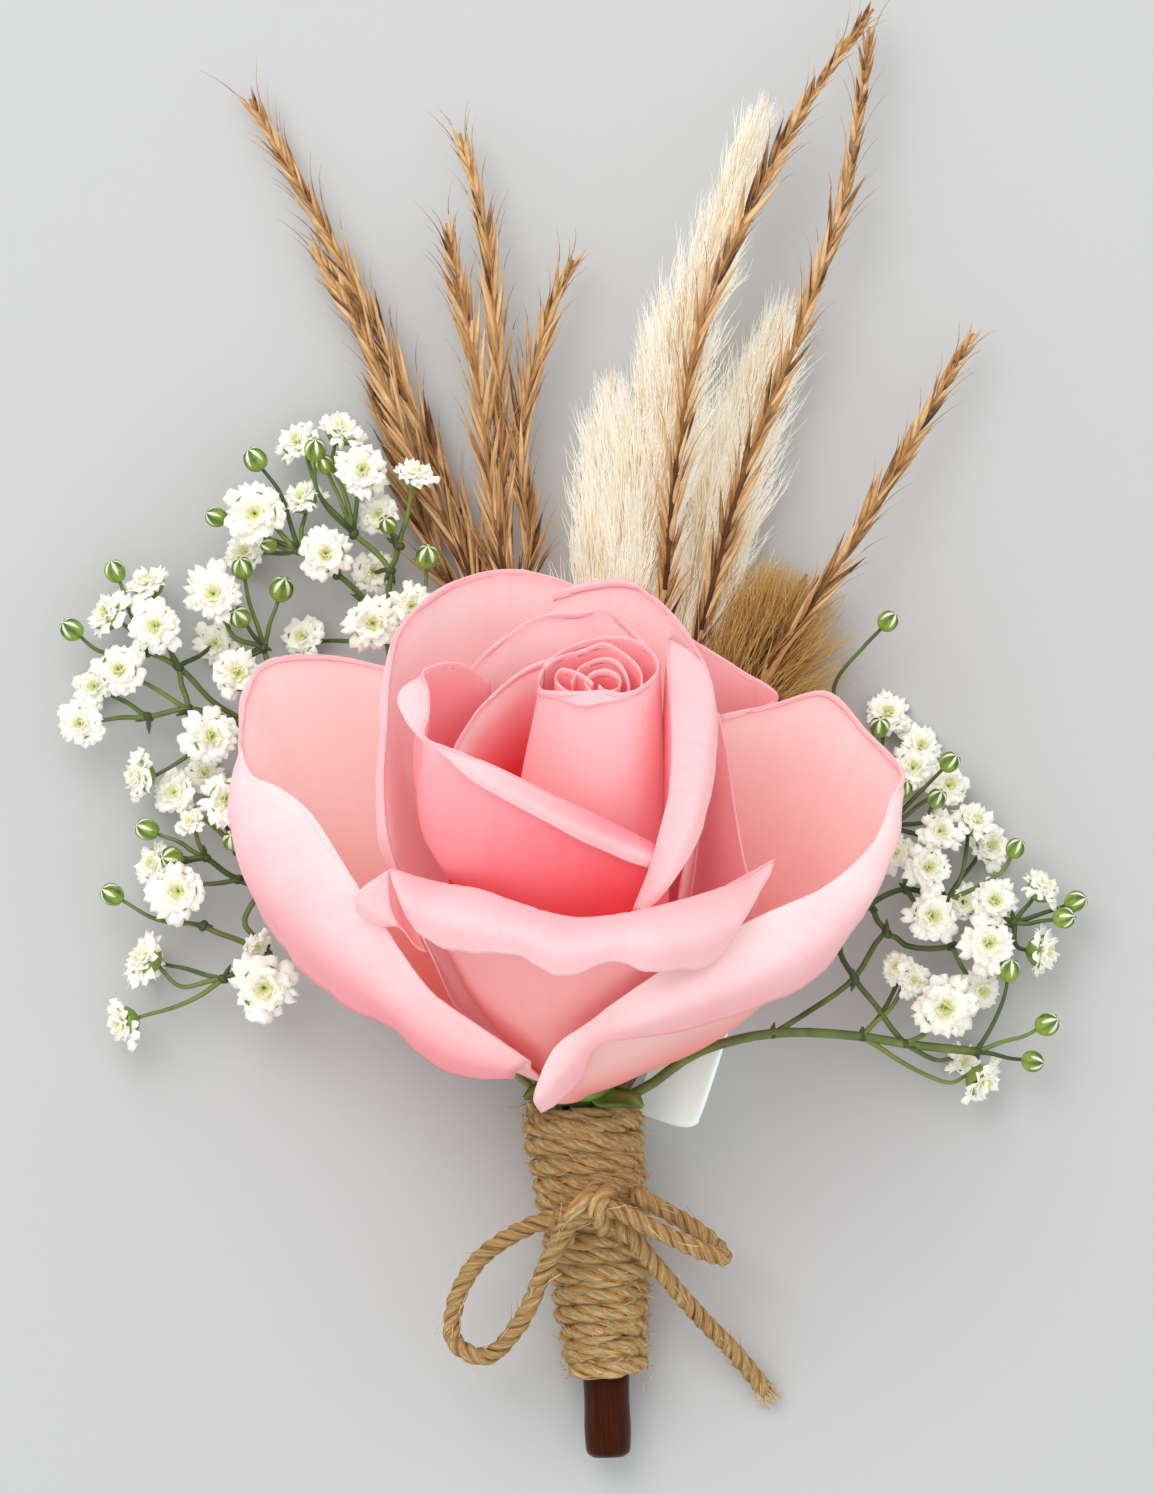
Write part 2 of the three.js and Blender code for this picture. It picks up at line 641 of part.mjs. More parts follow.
// Soft plume: a slim stalk with many fine hairs sweeping forward
function hair(root, along, long, wide) {
  const side = unit(cross(along, [0, 0, 1]));
  const up = unit(cross(side, along));
  const ring = [90, 210, 330].map((a) =>
    add(add(root, side, wide * Math.cos(rad(a))), up, wide * Math.sin(rad(a))),
  );
  const tip = add(root, along, long);
  const body = solid([...ring, tip], [[0, 2, 1], [0, 1, 3], [1, 2, 3], [2, 0, 3]]);
  return body.volume() < 0
    ? solid([...ring, tip], [[0, 1, 2], [0, 3, 1], [1, 3, 2], [2, 3, 0]])
    : body;
}

function plumeLine(plan) {
  const main = stemLine(plan.hand, plan.slot, plan.stops, 13);
  const last = main.length - 1;
  const first = Math.round(main.length * plan.start);
  const radii = main.map((p, i) => {
    const t = Math.min(((i - first) / (last - first)) * 0.9 + 0.1, 1);
    return i < first ? STEM_RADIUS : STEM_RADIUS + (plan.core - STEM_RADIUS) * Math.sin(Math.PI * t);
  });
  radii[last] = 0.25;
  layPath(plan.name, main, radii);
  return { main, radii, first, last };
}

function buildPlume(plan, lines) {
  const { main, radii, first, last } = lines;
  const bodies = [rod(main, radii, 5)];
  for (let k = 0; k < plan.hairs; k += 1) {
    const t = (k + 0.5) / plan.hairs;
    const place = first + t * (last - 0.3 - first);
    const i = Math.min(Math.floor(place), last - 1);
    const root = mix(main[i], main[i + 1], place - i);
    const along = unit(sub(main[i + 1], main[i]));
    const side = unit(cross(along, [0, 0, 1]));
    const up = unit(cross(side, along));
    const round = k * 2.39996;
    const swell = Math.sin(Math.PI * Math.min(0.25 + t * 0.75, 1)) * 0.5 + 0.5;
    const open = plan.spread * (0.55 + 0.45 * swell);
    const lean = unit(
      add(add(along, side, open * Math.cos(round)), up, open * plan.flat * Math.sin(round)),
    );
    const long = plan.long * (0.6 + 0.4 * swell) * scatter(0.85, 1.1);
    const tip = add(root, lean, long);
    if (tip[2] > 0.3 && isClear(plan.name, root, tip, 0.3)) {
      bodies.push(hair(root, lean, long, 0.42));
      lay(plan.name, root, tip, 0.3);
    }
  }
  return fuse(bodies);
}

// Baby's breath: frilled florets and round buds on thin branching stalks
const facing = (azimuth, rise) => [
  Math.cos(rad(azimuth)) * Math.cos(rad(rise)),
  Math.sin(rad(azimuth)) * Math.cos(rad(rise)),
  Math.sin(rad(rise)),
];

function floretBody(centre, wide, face) {
  const side = unit(cross(face, Math.abs(face[2]) < 0.95 ? [0, 0, 1] : [0, 1, 0]));
  const up = cross(side, face);
  const place = (angle, r, h) =>
    add(add(add(centre, side, r * Math.cos(angle)), up, r * Math.sin(angle)), face, h);
  const n = 5;
  const verts = [place(0, 0, -0.4 * wide), place(0, 0, 0.18 * wide)];
  for (let j = 0; j < 2 * n; j += 1) {
    const notch = j % 2 === 1;
    verts.push(place((Math.PI * j) / n, (notch ? 0.4 : 0.53) * wide, (notch ? 0.07 : -0.04) * wide));
  }
  for (let j = 0; j < n; j += 1) {
    verts.push(place((Math.PI * (2 * j + 1)) / n, 0.26 * wide, 0.2 * wide));
  }
  const faces = [];
  for (let j = 0; j < 2 * n; j += 1) faces.push([0, 2 + ((j + 1) % (2 * n)), 2 + j]);
  for (let j = 0; j < n; j += 1) {
    const left = 2 + 2 * j;
    const notch = left + 1;
    const right = 2 + ((2 * j + 2) % (2 * n));
    const inner = 2 + 2 * n + j;
    const next = 2 + 2 * n + ((j + 1) % n);
    faces.push([left, notch, inner], [notch, right, inner], [right, next, inner], [inner, next, 1]);
  }
  const body = solid(verts, faces);
  return body.volume() < 0 ? solid(verts, faces.map((f) => [f[0], f[2], f[1]])) : body;
}

function budBody(centre, r) {
  const shape = new THREE.IcosahedronGeometry(r, 0);
  const spots = new Map();
  const verts = [];
  const order = [];
  const pos = shape.getAttribute("position");
  for (let i = 0; i < pos.count; i += 1) {
    const key = [pos.getX(i), pos.getY(i), pos.getZ(i)].map((c) => Math.round(c * 1000)).join();
    if (!spots.has(key)) {
      spots.set(key, verts.length);
      verts.push([centre[0] + pos.getX(i), centre[1] + pos.getY(i), centre[2] + pos.getZ(i)]);
    }
    order.push(spots.get(key));
  }
  const faces = [];
  for (let i = 0; i < order.length; i += 3) faces.push(order.slice(i, i + 3));
  return solid(verts, faces);
}

// A floret is [u, v, height, width, azimuth it faces, rise it faces, joint, ...way points].
// Height 0 lets it rest on the table. A bud is [u, v, height, radius, joint, ...way points].
function buildSpray(owner, hand, slot, spray) {
  const bodies = [];
  const main = stemLine(hand, slot, spray.trunk, 8);
  bodies.push(rod(main, main.map((p, i) => (i < 2 ? STEM_RADIUS : spray.trunkRadius)), 4));
  layPath(owner, main, spray.trunkRadius);
  const spot = (name) => (Array.isArray(name) ? at(...name) : at(...spray.joints[name]));
  const stalk = (stops, r) => {
    bodies.push(rod(stops, r, 3, Math.PI / 2));
    layPath(owner, stops, r);
  };
  spray.stalks.forEach((run) => stalk(run.map(spot), 0.42));
  spray.florets.forEach(([u, v, z, wide, azimuth, rise, joint, ...via]) => {
    const face = facing(azimuth, rise);
    let centre = at(u, v, z);
    let body = floretBody(centre, wide, face);
    const sunk = body.boundingBox().min[2];
    if (z === 0 || sunk < 0) {
      body = body.translate([0, 0, -sunk]);
      centre = add(centre, [0, 0, -sunk]);
    }
    bodies.push(body);
    lay(owner, centre, add(centre, face, -0.2 * wide), 0.5 * wide);
    stalk([spot(joint), ...via.map(spot), add(centre, face, -0.3 * wide)], 0.36);
  });
  spray.buds.forEach(([u, v, z, r, joint, ...via]) => {
    const centre = at(u, v, z);
    bodies.push(budBody(centre, r));
    lay(owner, centre, centre, r);
    stalk([spot(joint), ...via.map(spot), centre], 0.34);
  });
  return fuse(bodies);
}

const SPRAY_LEFT_UPPER = {
  trunk: [[500, 1000, 5.2], [440, 850, 4.8], [398, 700, 4.8], [388, 640, 5.2]],
  trunkRadius: 0.5,
  joints: {
    a0: [388, 640, 5.2],
    a2: [391, 571, 6],
    a3: [355, 535, 6.6],
    a4: [400, 547, 7],
    b0: [366, 602, 6.2],
    b1: [338, 575, 7],
    b2: [300, 552, 7.2],
  },
  stalks: [["a0", [388, 600, 5.6], "a2", "a3"], ["a2", "a4"], ["a0", "b0", "b1", "b2"]],
  florets: [
    [257, 515, 8.5, 6.6, 200, 80, "b2"],
    [327, 555, 8.8, 5.6, 0, 85, "b1"],
    [303, 500, 6.4, 4.8, 110, 30, "b2"],
    [363, 472, 9, 5.6, 20, 75, "a3"],
    [416, 477, 9, 4.5, 80, 30, "a4"],
    [343, 432, 6.6, 5.2, 60, 25, "a3", [344, 490, 6.8], [334, 466, 6.8]],
    [299, 443, 4.6, 5, 130, 40, "a3", [322, 500, 5.6]],
    [380, 515, 5.4, 4.6, 180, 70, "a4"],
    [374, 624, 8.8, 5.8, 300, 80, "a0"],
    [412, 607, 7.8, 4.6, 0, 75, "a0"],
    [373, 572, 3.2, 4.6, 0, 70, "a2"],
    [304, 638, 0, 5, 150, 55, "a0"],
    [246, 553, 0, 4.6, 160, 60, "b2"],
  ],
  buds: [
    [257, 461, 7, 1.2, "b2", [283, 497, 7.2]],
    [218, 518, 6.5, 1.05, "b2"],
    [317, 452, 8, 1.15, "a3", [317, 487, 7.4]],
    [326, 466, 7.4, 0.95, "a3", [338, 495, 7]],
    [389, 526, 8.4, 0.95, "a4"],
    [428, 558, 8, 1.2, "a0", [425, 592, 7]],
    [270, 546, 7.4, 0.85, "b2"],
  ],
};

const SPRAY_LEFT_MIDDLE = {
  trunk: [[490, 1010, 4], [400, 880, 3.6], [300, 780, 3.6], [252, 724, 4.2]],
  trunkRadius: 0.5,
  joints: {
    d0: [252, 724, 4.2],
    d1: [190, 710, 5],
    d2: [180, 667, 5.6],
    d3: [150, 652, 5.6],
    d4: [150, 717, 5],
    c1: [265, 648, 5.4],
  },
  stalks: [
    ["d0", [215, 703, 4.8], "d2", "d3"],
    ["d0", "d1", "d4"],
    ["d1", "d2"],
    ["d0", [272, 688, 4.8], "c1"],
  ],
  florets: [
    [216, 595, 8, 6, 150, 80, "c1", [235, 635, 6]],
    [159, 627, 8.4, 5.5, 180, 75, "d2"],
    [150, 584, 5.6, 5.2, 120, 30, "d3", [158, 620, 5.4]],
    [110, 615, 6, 5.2, 150, 25, "d3"],
    [122, 670, 8, 5.4, 180, 80, "d1"],
    [96, 687, 0, 4.6, 160, 60, "d4"],
    [83, 723, 6.6, 4.8, 210, 75, "d4"],
    [239, 673, 7.6, 5.6, 330, 75, "c1"],
    [214, 736, 8.2, 5.7, 300, 80, "d0"],
    [142, 776, 6, 5.2, 180, 25, "d0", [196, 753, 5.4]],
    [217, 643, 0, 4.6, 200, 65, "d2"],
  ],
  buds: [
    [74, 630, 6, 1.15, "d3", [103, 653, 5.8]],
    [117, 572, 5, 1.1, "d3", [134, 615, 5]],
    [244, 569, 7, 1.1, "c1", [252, 605, 6]],
    [283, 590, 6.4, 1.25, "c1", [277, 608, 6]],
    [242, 618, 7.6, 1.1, "c1"],
  ],
};

const SPRAY_LEFT_LOWER = {
  trunk: [[528, 1083, 8.1], [480, 1030, 7.2], [380, 960, 6], [300, 910, 5.4], [262, 890, 5.2]],
  trunkRadius: 0.5,
  joints: {
    e0: [262, 890, 5.2],
    e1: [240, 879, 5.4],
    e2: [207, 857, 6],
    e3: [240, 852, 5.8],
    f0: [268, 953, 5.4],
    f1: [225, 978, 5.6],
    f2: [205, 925, 5.8],
  },
  stalks: [
    ["e0", "e1", "e2"],
    ["e0", "e3"],
    ["e0", [246, 922, 5.4], "f0", "f1"],
    ["f0", "f2"],
  ],
  florets: [
    [228, 799, 8, 5.2, 0, 80, "e3"],
    [176, 793, 4.4, 4.8, 150, 60, "e3", [215, 825, 5]],
    [205, 775, 0, 4.6, 60, 60, "e3", [222, 815, 4.4]],
    [192, 822, 7.4, 3.2, 120, 50, "e2"],
    [181, 890, 8, 6, 210, 75, "e1"],
    [156, 864, 4.6, 4.6, 160, 40, "e2"],
    [147, 957, 6, 5.6, 150, 25, "f1", [180, 984, 5.6]],
    [125, 1022, 5, 5.4, 200, 20, "f1", [198, 997, 5.4]],
    [266, 986, 8.6, 7, 300, 80, "f0"],
    [257, 944, 6.6, 3.2, 315, 40, "f0"],
    [150, 962, 0, 3.4, 180, 60, "f1"],
  ],
  buds: [
    [149, 829, 6, 1.15, "e2", [185, 845, 6]],
    [174, 857, 7.4, 1.15, "e2"],
    [235, 840, 7.2, 1.1, "e3"],
    [114, 894, 5.4, 1.15, "f2", [150, 915, 5.6]],
  ],
};

const SPRAY_RIGHT = {
  trunk: [
    [646, 1084, 9.2], [678, 1060, 10.6], [705, 1046, 11.2], [770, 1032, 10.2],
    [860, 1035, 7.6], [903, 1042, 6.6], [975, 1050, 5.6],
  ],
  trunkRadius: 0.68,
  joints: {
    r1: [770, 1032, 10.2],
    r2: [860, 1035, 7.6],
    r3: [903, 1042, 6.6],
    r4: [975, 1050, 5.6],
    q1: [853, 978, 8.4],
    s1: [885, 932, 7.6],
    t0: [868, 905, 6.4],
    t1: [905, 888, 6],
    v1: [945, 900, 5],
    w1: [950, 945, 5.4],
    w2: [1012, 922, 4.8],
    u0: [888, 825, 5.6],
    u1: [876, 770, 4.8],
  },
  stalks: [
    ["r1", [800, 1014, 9.6], "q1", "s1", [905, 945, 7], "w1", "w2"],
    ["q1", [838, 945, 7.6], "t0", "t1", "v1"],
    ["r3", [885, 1020, 7.2], "q1"],
    ["t0", "s1"],
    ["t0", [868, 860, 5.8], "u0", "u1"],
  ],
  florets: [
    [942, 1005, 8.6, 6.8, 300, 75, "r3", [925, 1030, 6.8]],
    [929, 915, 8.8, 5.8, 0, 70, "t1"],
    [926, 867, 8, 4.8, 20, 75, "t1"],
    [938, 831, 6.6, 4.6, 30, 70, "u0", [915, 835, 5.8]],
    [896, 852, 5.4, 4, 180, 60, "t1"],
    [992, 900, 5.6, 5.2, 20, 70, "v1"],
    [962, 903, 4.6, 4.2, 90, 70, "v1"],
    [986, 942, 7.8, 5.6, 0, 75, "w1"],
    [1040, 888, 4.8, 4.6, 50, 25, "w2"],
    [1040, 951, 5, 5.2, 355, 15, "w2", [1016, 945, 5]],
    [896, 966, 7.4, 3.6, 150, 60, "r2", [885, 1005, 7.2]],
    [911, 978, 7.6, 3.8, 330, 60, "r2", [890, 1003, 7.2]],
    [980, 1080, 4.4, 5.2, 330, 20, "r2", [948, 1082, 4.8]],
    [962, 1059, 0, 3.6, 315, 50, "r3", [935, 1060, 4.6]],
    [980, 990, 3.2, 4.5, 340, 60, "w1"],
    [974, 822, 4.4, 4.8, 50, 40, "v1", [962, 872, 5]],
    [989, 846, 0, 4.6, 20, 60, "v1"],
    [947, 786, 3.8, 4.8, 45, 60, "u0"],
    [911, 768, 5.4, 4.8, 45, 65, "u0"],
    [920, 747, 0, 4.6, 60, 60, "u1"],
    [887, 714, 0, 5, 70, 60, "u1"],
  ],
  buds: [
    [878, 727, 7, 1.05, "u1"],
    [948, 762, 6.6, 1.05, "u0", [920, 790, 6]],
    [935, 798, 7.6, 1, "u0", [920, 822, 6.6]],
    [1014, 848, 5, 1, "v1", [1000, 872, 5]],
    [1074, 901, 4.6, 1.1, "w2", [1045, 912, 4.6]],
    [1062, 917, 5.8, 1.1, "w2", [1035, 922, 5.2]],
    [1007, 969, 7, 1.15, "r4", [990, 1025, 6], [1003, 990, 6.8]],
    [1045, 1023, 6, 1.2, "r4", [1020, 1035, 5.8]],
    [1031, 1060, 5, 1.1, "r4", [1000, 1055, 5.3]],
    [886, 622, 9.4, 1.05, "u1", [850, 738, 5.6], [832, 690, 8.6], [862, 648, 9.4]],
    [902, 788, 6.6, 0.95, "u0"],
  ],
};

// Bow cord, drawn from the frayed right end through the knot, the left loop and the right bight
const BOW = [
  [765, 1390, 1.4], [735, 1352, 3.2], [700, 1315, 6.2], [655, 1262, 10.6], [625, 1227, 12.5],
  [592, 1208, 12.5], [560, 1212, 12.8], [525, 1224, 12.6], [480, 1255, 11.5], [456, 1300, 10.2],
  [456, 1338, 9.6], [486, 1352, 9.8], [520, 1318, 11.4], [548, 1258, 13.6], [572, 1216, 15],
  [606, 1203, 15.1], [650, 1222, 14.6], [695, 1244, 13.6], [722, 1252, 11.2], [706, 1234, 9],
  [662, 1206, 9.6], [632, 1190, 11.4],
];

function buildBow() {
  return fuse([rod(curve(BOW.map((p) => at(...p)), 27), TWINE_DIA / 2, 8)], 0.02);
}

// Satin ribbon loop: two layers and a round fold, tilted so that its lower edge meets the sleeve
function buildRibbon() {
  const corner = [12.05, -39.95, 9.8];
  const along = [0.31, 0.951, 0];
  const across = unit([-0.57, 0.186, -0.8]);
  const out = cross(along, across);
  const section = [
    [13, 0], [9, 0.1], [5, 0.15], [2, 0.1], [0.6, -0.25], [0.1, -0.95],
    [0.6, -1.65], [2, -2], [6, -2.1], [12, -1.8],
  ];
  const grid = section.map(([s, n]) =>
    [0, 1 / 3, 2 / 3, 1].map((t) =>
      add(add(add(corner, along, s), out, n), across, t * RIBBON_WIDTH),
    ),
  );
  return blade(grid, RIBBON_THICK);
}

// Grasses: a trunk from the bundle and branches that carry the ears
const TUFT = { every: 3.1, long: 7.8, wide: 0.55, spread: 0.24, from: 6 };
const SPIKE = { every: 2.9, long: 7.4, wide: 0.55, spread: 0.3, from: 3 };
const GRASSES = [
  {
    name: "grass_left",
    hand: -1,
    slot: "low",
    trunk: [[520, 960, 2.8], [495, 800, 2.6], [484, 690, 2.6], [480, 620, 2.7]],
    branches: [
      [[478, 560, 2.8], [440, 470, 3], [400, 380, 3.2], [330, 240, 3], [250, 100, 2.2]],
      [[468, 570, 3.4], [420, 470, 4], [370, 350, 3.6], [315, 250, 2.6]],
      [[452, 585, 2.4], [425, 530, 2], [395, 450, 2], [365, 340, 2]],
    ],
    ears: TUFT,
  },
  {
    name: "grass_middle",
    hand: -1,
    slot: "high",
    trunk: [[545, 1000, 5.4], [530, 850, 4.2], [520, 700, 4.2], [515, 620, 4.6]],
    branches: [
      [[505, 570, 5], [500, 400, 5.6], [485, 230, 5], [460, 135, 4]],
      [[495, 520, 5.6], [478, 380, 6], [447, 225, 5]],
      [[530, 560, 5], [520, 450, 5.6], [545, 330, 5.6], [573, 262, 5]],
    ],
    ears: TUFT,
  },
  {
    name: "grass_right_tall",
    hand: 1,
    slot: "inner",
    trunk: [[613, 1000, 4], [620, 850, 4], [645, 680, 5.2], [664, 590, 8.4]],
    branches: [[[674, 480, 12.2], [700, 330, 13.2], [770, 170, 11.5], [830, 70, 8], [872, 12, 5]]],
    ears: SPIKE,
  },
  {
    name: "grass_right_upper",
    hand: 1,
    slot: "side",
    trunk: [[640, 1000, 4.6], [655, 850, 4.6], [680, 700, 5.4], [700, 630, 6.8]],
    branches: [[[745, 470, 8.4], [800, 330, 8], [845, 190, 7], [862, 80, 6], [868, 30, 5.4]]],
    ears: SPIKE,
  },
  {
    name: "grass_right_side",
    hand: 1,
    slot: "wide",
    trunk: [[668, 1010, 4.4], [700, 850, 4.6], [745, 720, 5.6], [768, 670, 7]],
    branches: [[[800, 620, 8.4], [840, 560, 8.4], [900, 460, 6.5], [972, 335, 4.5]]],
    ears: SPIKE,
  },
];

// Plumes: the stalk swells into a soft spindle from the given share of its length on
const SOFT = { core: 1.0, hairs: 36, spread: 0.42, flat: 0.6, long: 8.8 };
const PLUMES = [
  {
    ...SOFT,
    name: "plume_left",
    hand: -1,
    slot: "inner",
    start: 0.6,
    stops: [
      [560, 1000, 4.4], [572, 850, 3.2], [590, 680, 2.6],
      [606, 560, 3], [612, 450, 3], [612, 370, 3.2],
    ],
  },
  {
    ...SOFT,
    name: "plume_middle",
    hand: -1,
    slot: "core",
    start: 0.56,
    stops: [
      [572, 1000, 5.3], [584, 850, 4.2], [608, 680, 4.4],
      [634, 580, 6.2], [650, 450, 6.6], [662, 290, 6.4],
    ],
  },
  {
    ...SOFT,
    name: "plume_tall",
    hand: 1,
    slot: "core",
    start: 0.48,
    hairs: 44,
    long: 7.5,
    stops: [
      [600, 1000, 5.2], [600, 850, 5.2], [618, 680, 6], [640, 590, 7.4], [665, 480, 9.3],
      [690, 330, 10.2], [725, 220, 9.4], [770, 95, 7.5],
    ],
  },
  {
    ...SOFT,
    name: "plume_right",
    hand: 1,
    slot: "low",
    start: 0.52,
    hairs: 42,
    long: 9,
    stops: [
      [627, 1000, 2.6], [640, 850, 2.4], [670, 700, 2.8], [695, 620, 3.2], [720, 520, 3.4],
      [745, 430, 3.4], [795, 290, 3.6],
    ],
  },
  {
    ...SOFT,
    name: "plume_brown",
    hand: 1,
    slot: "high",
    start: 0.68,
    hairs: 40,
    spread: 0.62,
    stops: [
      [655, 1010, 6], [676, 850, 5.2], [722, 720, 4.6],
      [745, 690, 4.6], [775, 630, 4.8], [806, 575, 4.8],
    ],
  },
];

// Pieces in building order: those placed first keep their room
function buildAll() {
  const parts = {};
  const hip = buildHip();
  parts.rose_bloom = buildBloom();
  parts.rose_hip_and_stem = hip;
  parts.wooden_stick = buildStick();
  parts.twine_wrap = buildWrap();
  parts.twine_bow = buildBow();
  parts.ribbon_loop = buildRibbon();
  parts.babys_breath_left_upper = buildSpray("left_upper", -1, "wide", SPRAY_LEFT_UPPER);
  parts.babys_breath_left_middle = buildSpray("left_middle", -1, "side", SPRAY_LEFT_MIDDLE);
  parts.babys_breath_left_lower = buildSpray("left_lower", -1, "top", SPRAY_LEFT_LOWER);
  parts.babys_breath_right = buildSpray("right", 1, "top", SPRAY_RIGHT);
  const grasses = GRASSES.map((plan) => [plan, grassLines(plan)]);
  const plumes = PLUMES.map((plan) => [plan, plumeLine(plan)]);
  grasses.forEach(([plan, lines]) => {
    parts[plan.name] = buildGrass(plan, lines);
  });
  plumes.forEach(([plan, lines]) => {
    parts[plan.name] = buildPlume(plan, lines);
  });
  return parts;
}

const FINISH = {
  rose_bloom: [0xf2a3a6, 0.62],
  rose_hip_and_stem: [0x4f7a2c, 0.55],
  wooden_stick: [0x4a2418, 0.35],
  twine_wrap: [0xb58f5c, 0.9],
  twine_bow: [0xb89361, 0.9],
  ribbon_loop: [0xeef0ec, 0.35],
  babys_breath: [0xf1f1e8, 0.7],
  grass: [0xa9773f, 0.75],
  plume: [0xe4d8bd, 0.9],
  plume_brown: [0xa37c4c, 0.9],
};

function finishOf(name) {
  if (FINISH[name]) return FINISH[name];
  const kind = Object.keys(FINISH).find((key) => name.startsWith(key));
  return FINISH[kind];
}

function toMesh(name, body) {
  const { vertProperties, triVerts, numProp } = body.getMesh();
  const verts = new Float32Array((vertProperties.length / numProp) * 3);
  for (let i = 0; i < verts.length / 3; i += 1) {
    verts.set(vertProperties.slice(i * numProp, i * numProp + 3), i * 3);
  }
  const geometry = new THREE.BufferGeometry();
  geometry.setAttribute("position", new THREE.BufferAttribute(verts, 3));
  geometry.setIndex(new THREE.BufferAttribute(new Uint32Array(triVerts), 1));
  const [colour, roughness] = finishOf(name);
  const material = new THREE.MeshStandardMaterial({ color: colour, roughness, metalness: 0 });
  material.name = name;
  const mesh = new THREE.Mesh(geometry, material);
  mesh.name = name;
  return mesh;
}

const boutonniere = new THREE.Group();
boutonniere.name = "boutonniere";
const built = Object.entries(buildAll());
const box = new THREE.Box3();
built.forEach(([, body]) => {
  const { min, max } = body.boundingBox();
  box.expandByPoint(new THREE.Vector3(...min));
  box.expandByPoint(new THREE.Vector3(...max));
});
const shift = [-(box.min.x + box.max.x) / 2, -(box.min.y + box.max.y) / 2, -box.min.z];
built.forEach(([name, body]) => boutonniere.add(toMesh(name, body.translate(shift))));

export default boutonniere;
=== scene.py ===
"""Rose boutonniere that lies on its back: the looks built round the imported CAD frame.

Shapes are worked out in drawing millimetres, the axes of the CAD source before it is centred:
X to the right, Y toward the plume tips, Z up from the table.
"""
import logging
import math
from dataclasses import dataclass, field
from enum import Enum
from typing import Callable, Iterable, Sequence

import bpy
import numpy as np
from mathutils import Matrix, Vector


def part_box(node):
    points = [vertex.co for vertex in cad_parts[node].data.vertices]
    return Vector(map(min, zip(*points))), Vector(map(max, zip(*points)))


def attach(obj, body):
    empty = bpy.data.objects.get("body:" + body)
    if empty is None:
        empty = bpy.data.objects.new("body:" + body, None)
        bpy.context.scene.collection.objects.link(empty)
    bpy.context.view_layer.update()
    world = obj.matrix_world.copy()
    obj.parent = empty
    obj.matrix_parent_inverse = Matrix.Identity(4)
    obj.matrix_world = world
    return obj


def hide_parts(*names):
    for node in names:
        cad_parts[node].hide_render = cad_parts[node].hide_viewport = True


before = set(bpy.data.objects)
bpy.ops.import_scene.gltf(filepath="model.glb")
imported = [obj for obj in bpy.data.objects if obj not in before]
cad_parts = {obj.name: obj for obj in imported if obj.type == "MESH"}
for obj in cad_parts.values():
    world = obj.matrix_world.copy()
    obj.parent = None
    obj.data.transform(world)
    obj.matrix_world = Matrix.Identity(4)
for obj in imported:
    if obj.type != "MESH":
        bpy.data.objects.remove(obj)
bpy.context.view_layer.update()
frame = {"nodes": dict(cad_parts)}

Array = np.ndarray
log = logging.getLogger("boutonniere")

MM = 0.001
# The drawing's middle and its steps in a millimetre.
DRAW_U = 572.5
DRAW_V = 731.5
STEPS_A_MM = 10
# The stick's lower end and its right side in the drawing, millimetres.
STICK_END_Y = -72.35
STICK_RIGHT_X = 5.82
UP = np.array([0.0, 0.0, 1.0])
# A direction that no grass or plume stalk runs along.
STALK_SIDE = (0.05, 0.02, 1.0)
# Least height of green and dry parts over the table, millimetres.
TABLE_GAP = 0.03


# Shared shape tools

def stacked(*parts: Array) -> Array:
    """Arrays of shapes that fit each other as the last axis of one."""
    return np.stack(np.broadcast_arrays(*parts), axis=-1)


def drawn(stops: Sequence) -> Array:
    """Drawing points (u, v, height) as millimetres: X = (u - 572.5) / 10, Y = (731.5 - v) / 10.

    Args:
        stops: one point or a list of points, u and v in tenths of a millimetre.
    Returns:
        The points, the last axis X, Y, Z.
    """
    s = np.asarray(stops, float)
    return stacked((s[..., 0] - DRAW_U) / STEPS_A_MM, (DRAW_V - s[..., 1]) / STEPS_A_MM, s[..., 2])


def unit(vectors: Array) -> Array:
    """Vectors divided by their lengths."""
    return vectors / np.maximum(np.linalg.norm(vectors, axis=-1, keepdims=True), 1e-12)


def smooth(low: float, high: float, x: Array) -> Array:
    """Smooth step 3t² - 2t³ with t = (x - low) / (high - low) kept from 0 to 1."""
    t = np.clip((x - low) / (high - low), 0, 1)
    return t * t * (3 - 2 * t)


def shares(count: int) -> Array:
    """Even shares from 0 to 1, shaped for (strands, points, axes)."""
    return np.linspace(0, 1, count)[None, :, None]


def circle(sides: int) -> Array:
    """Even angles round a ring, in radians."""
    return 2 * np.pi * np.arange(sides) / sides


def round_z(angle: Array, radius: Array, height: Array) -> Array:
    """Points (r cos a, r sin a, h), the angle in radians."""
    return stacked(radius * np.cos(angle), radius * np.sin(angle), height)


def off_table(points: Array, lowest: float) -> Array:
    """Points with none lower than this many millimetres over the table."""
    return np.maximum(points, (-np.inf, -np.inf, lowest))


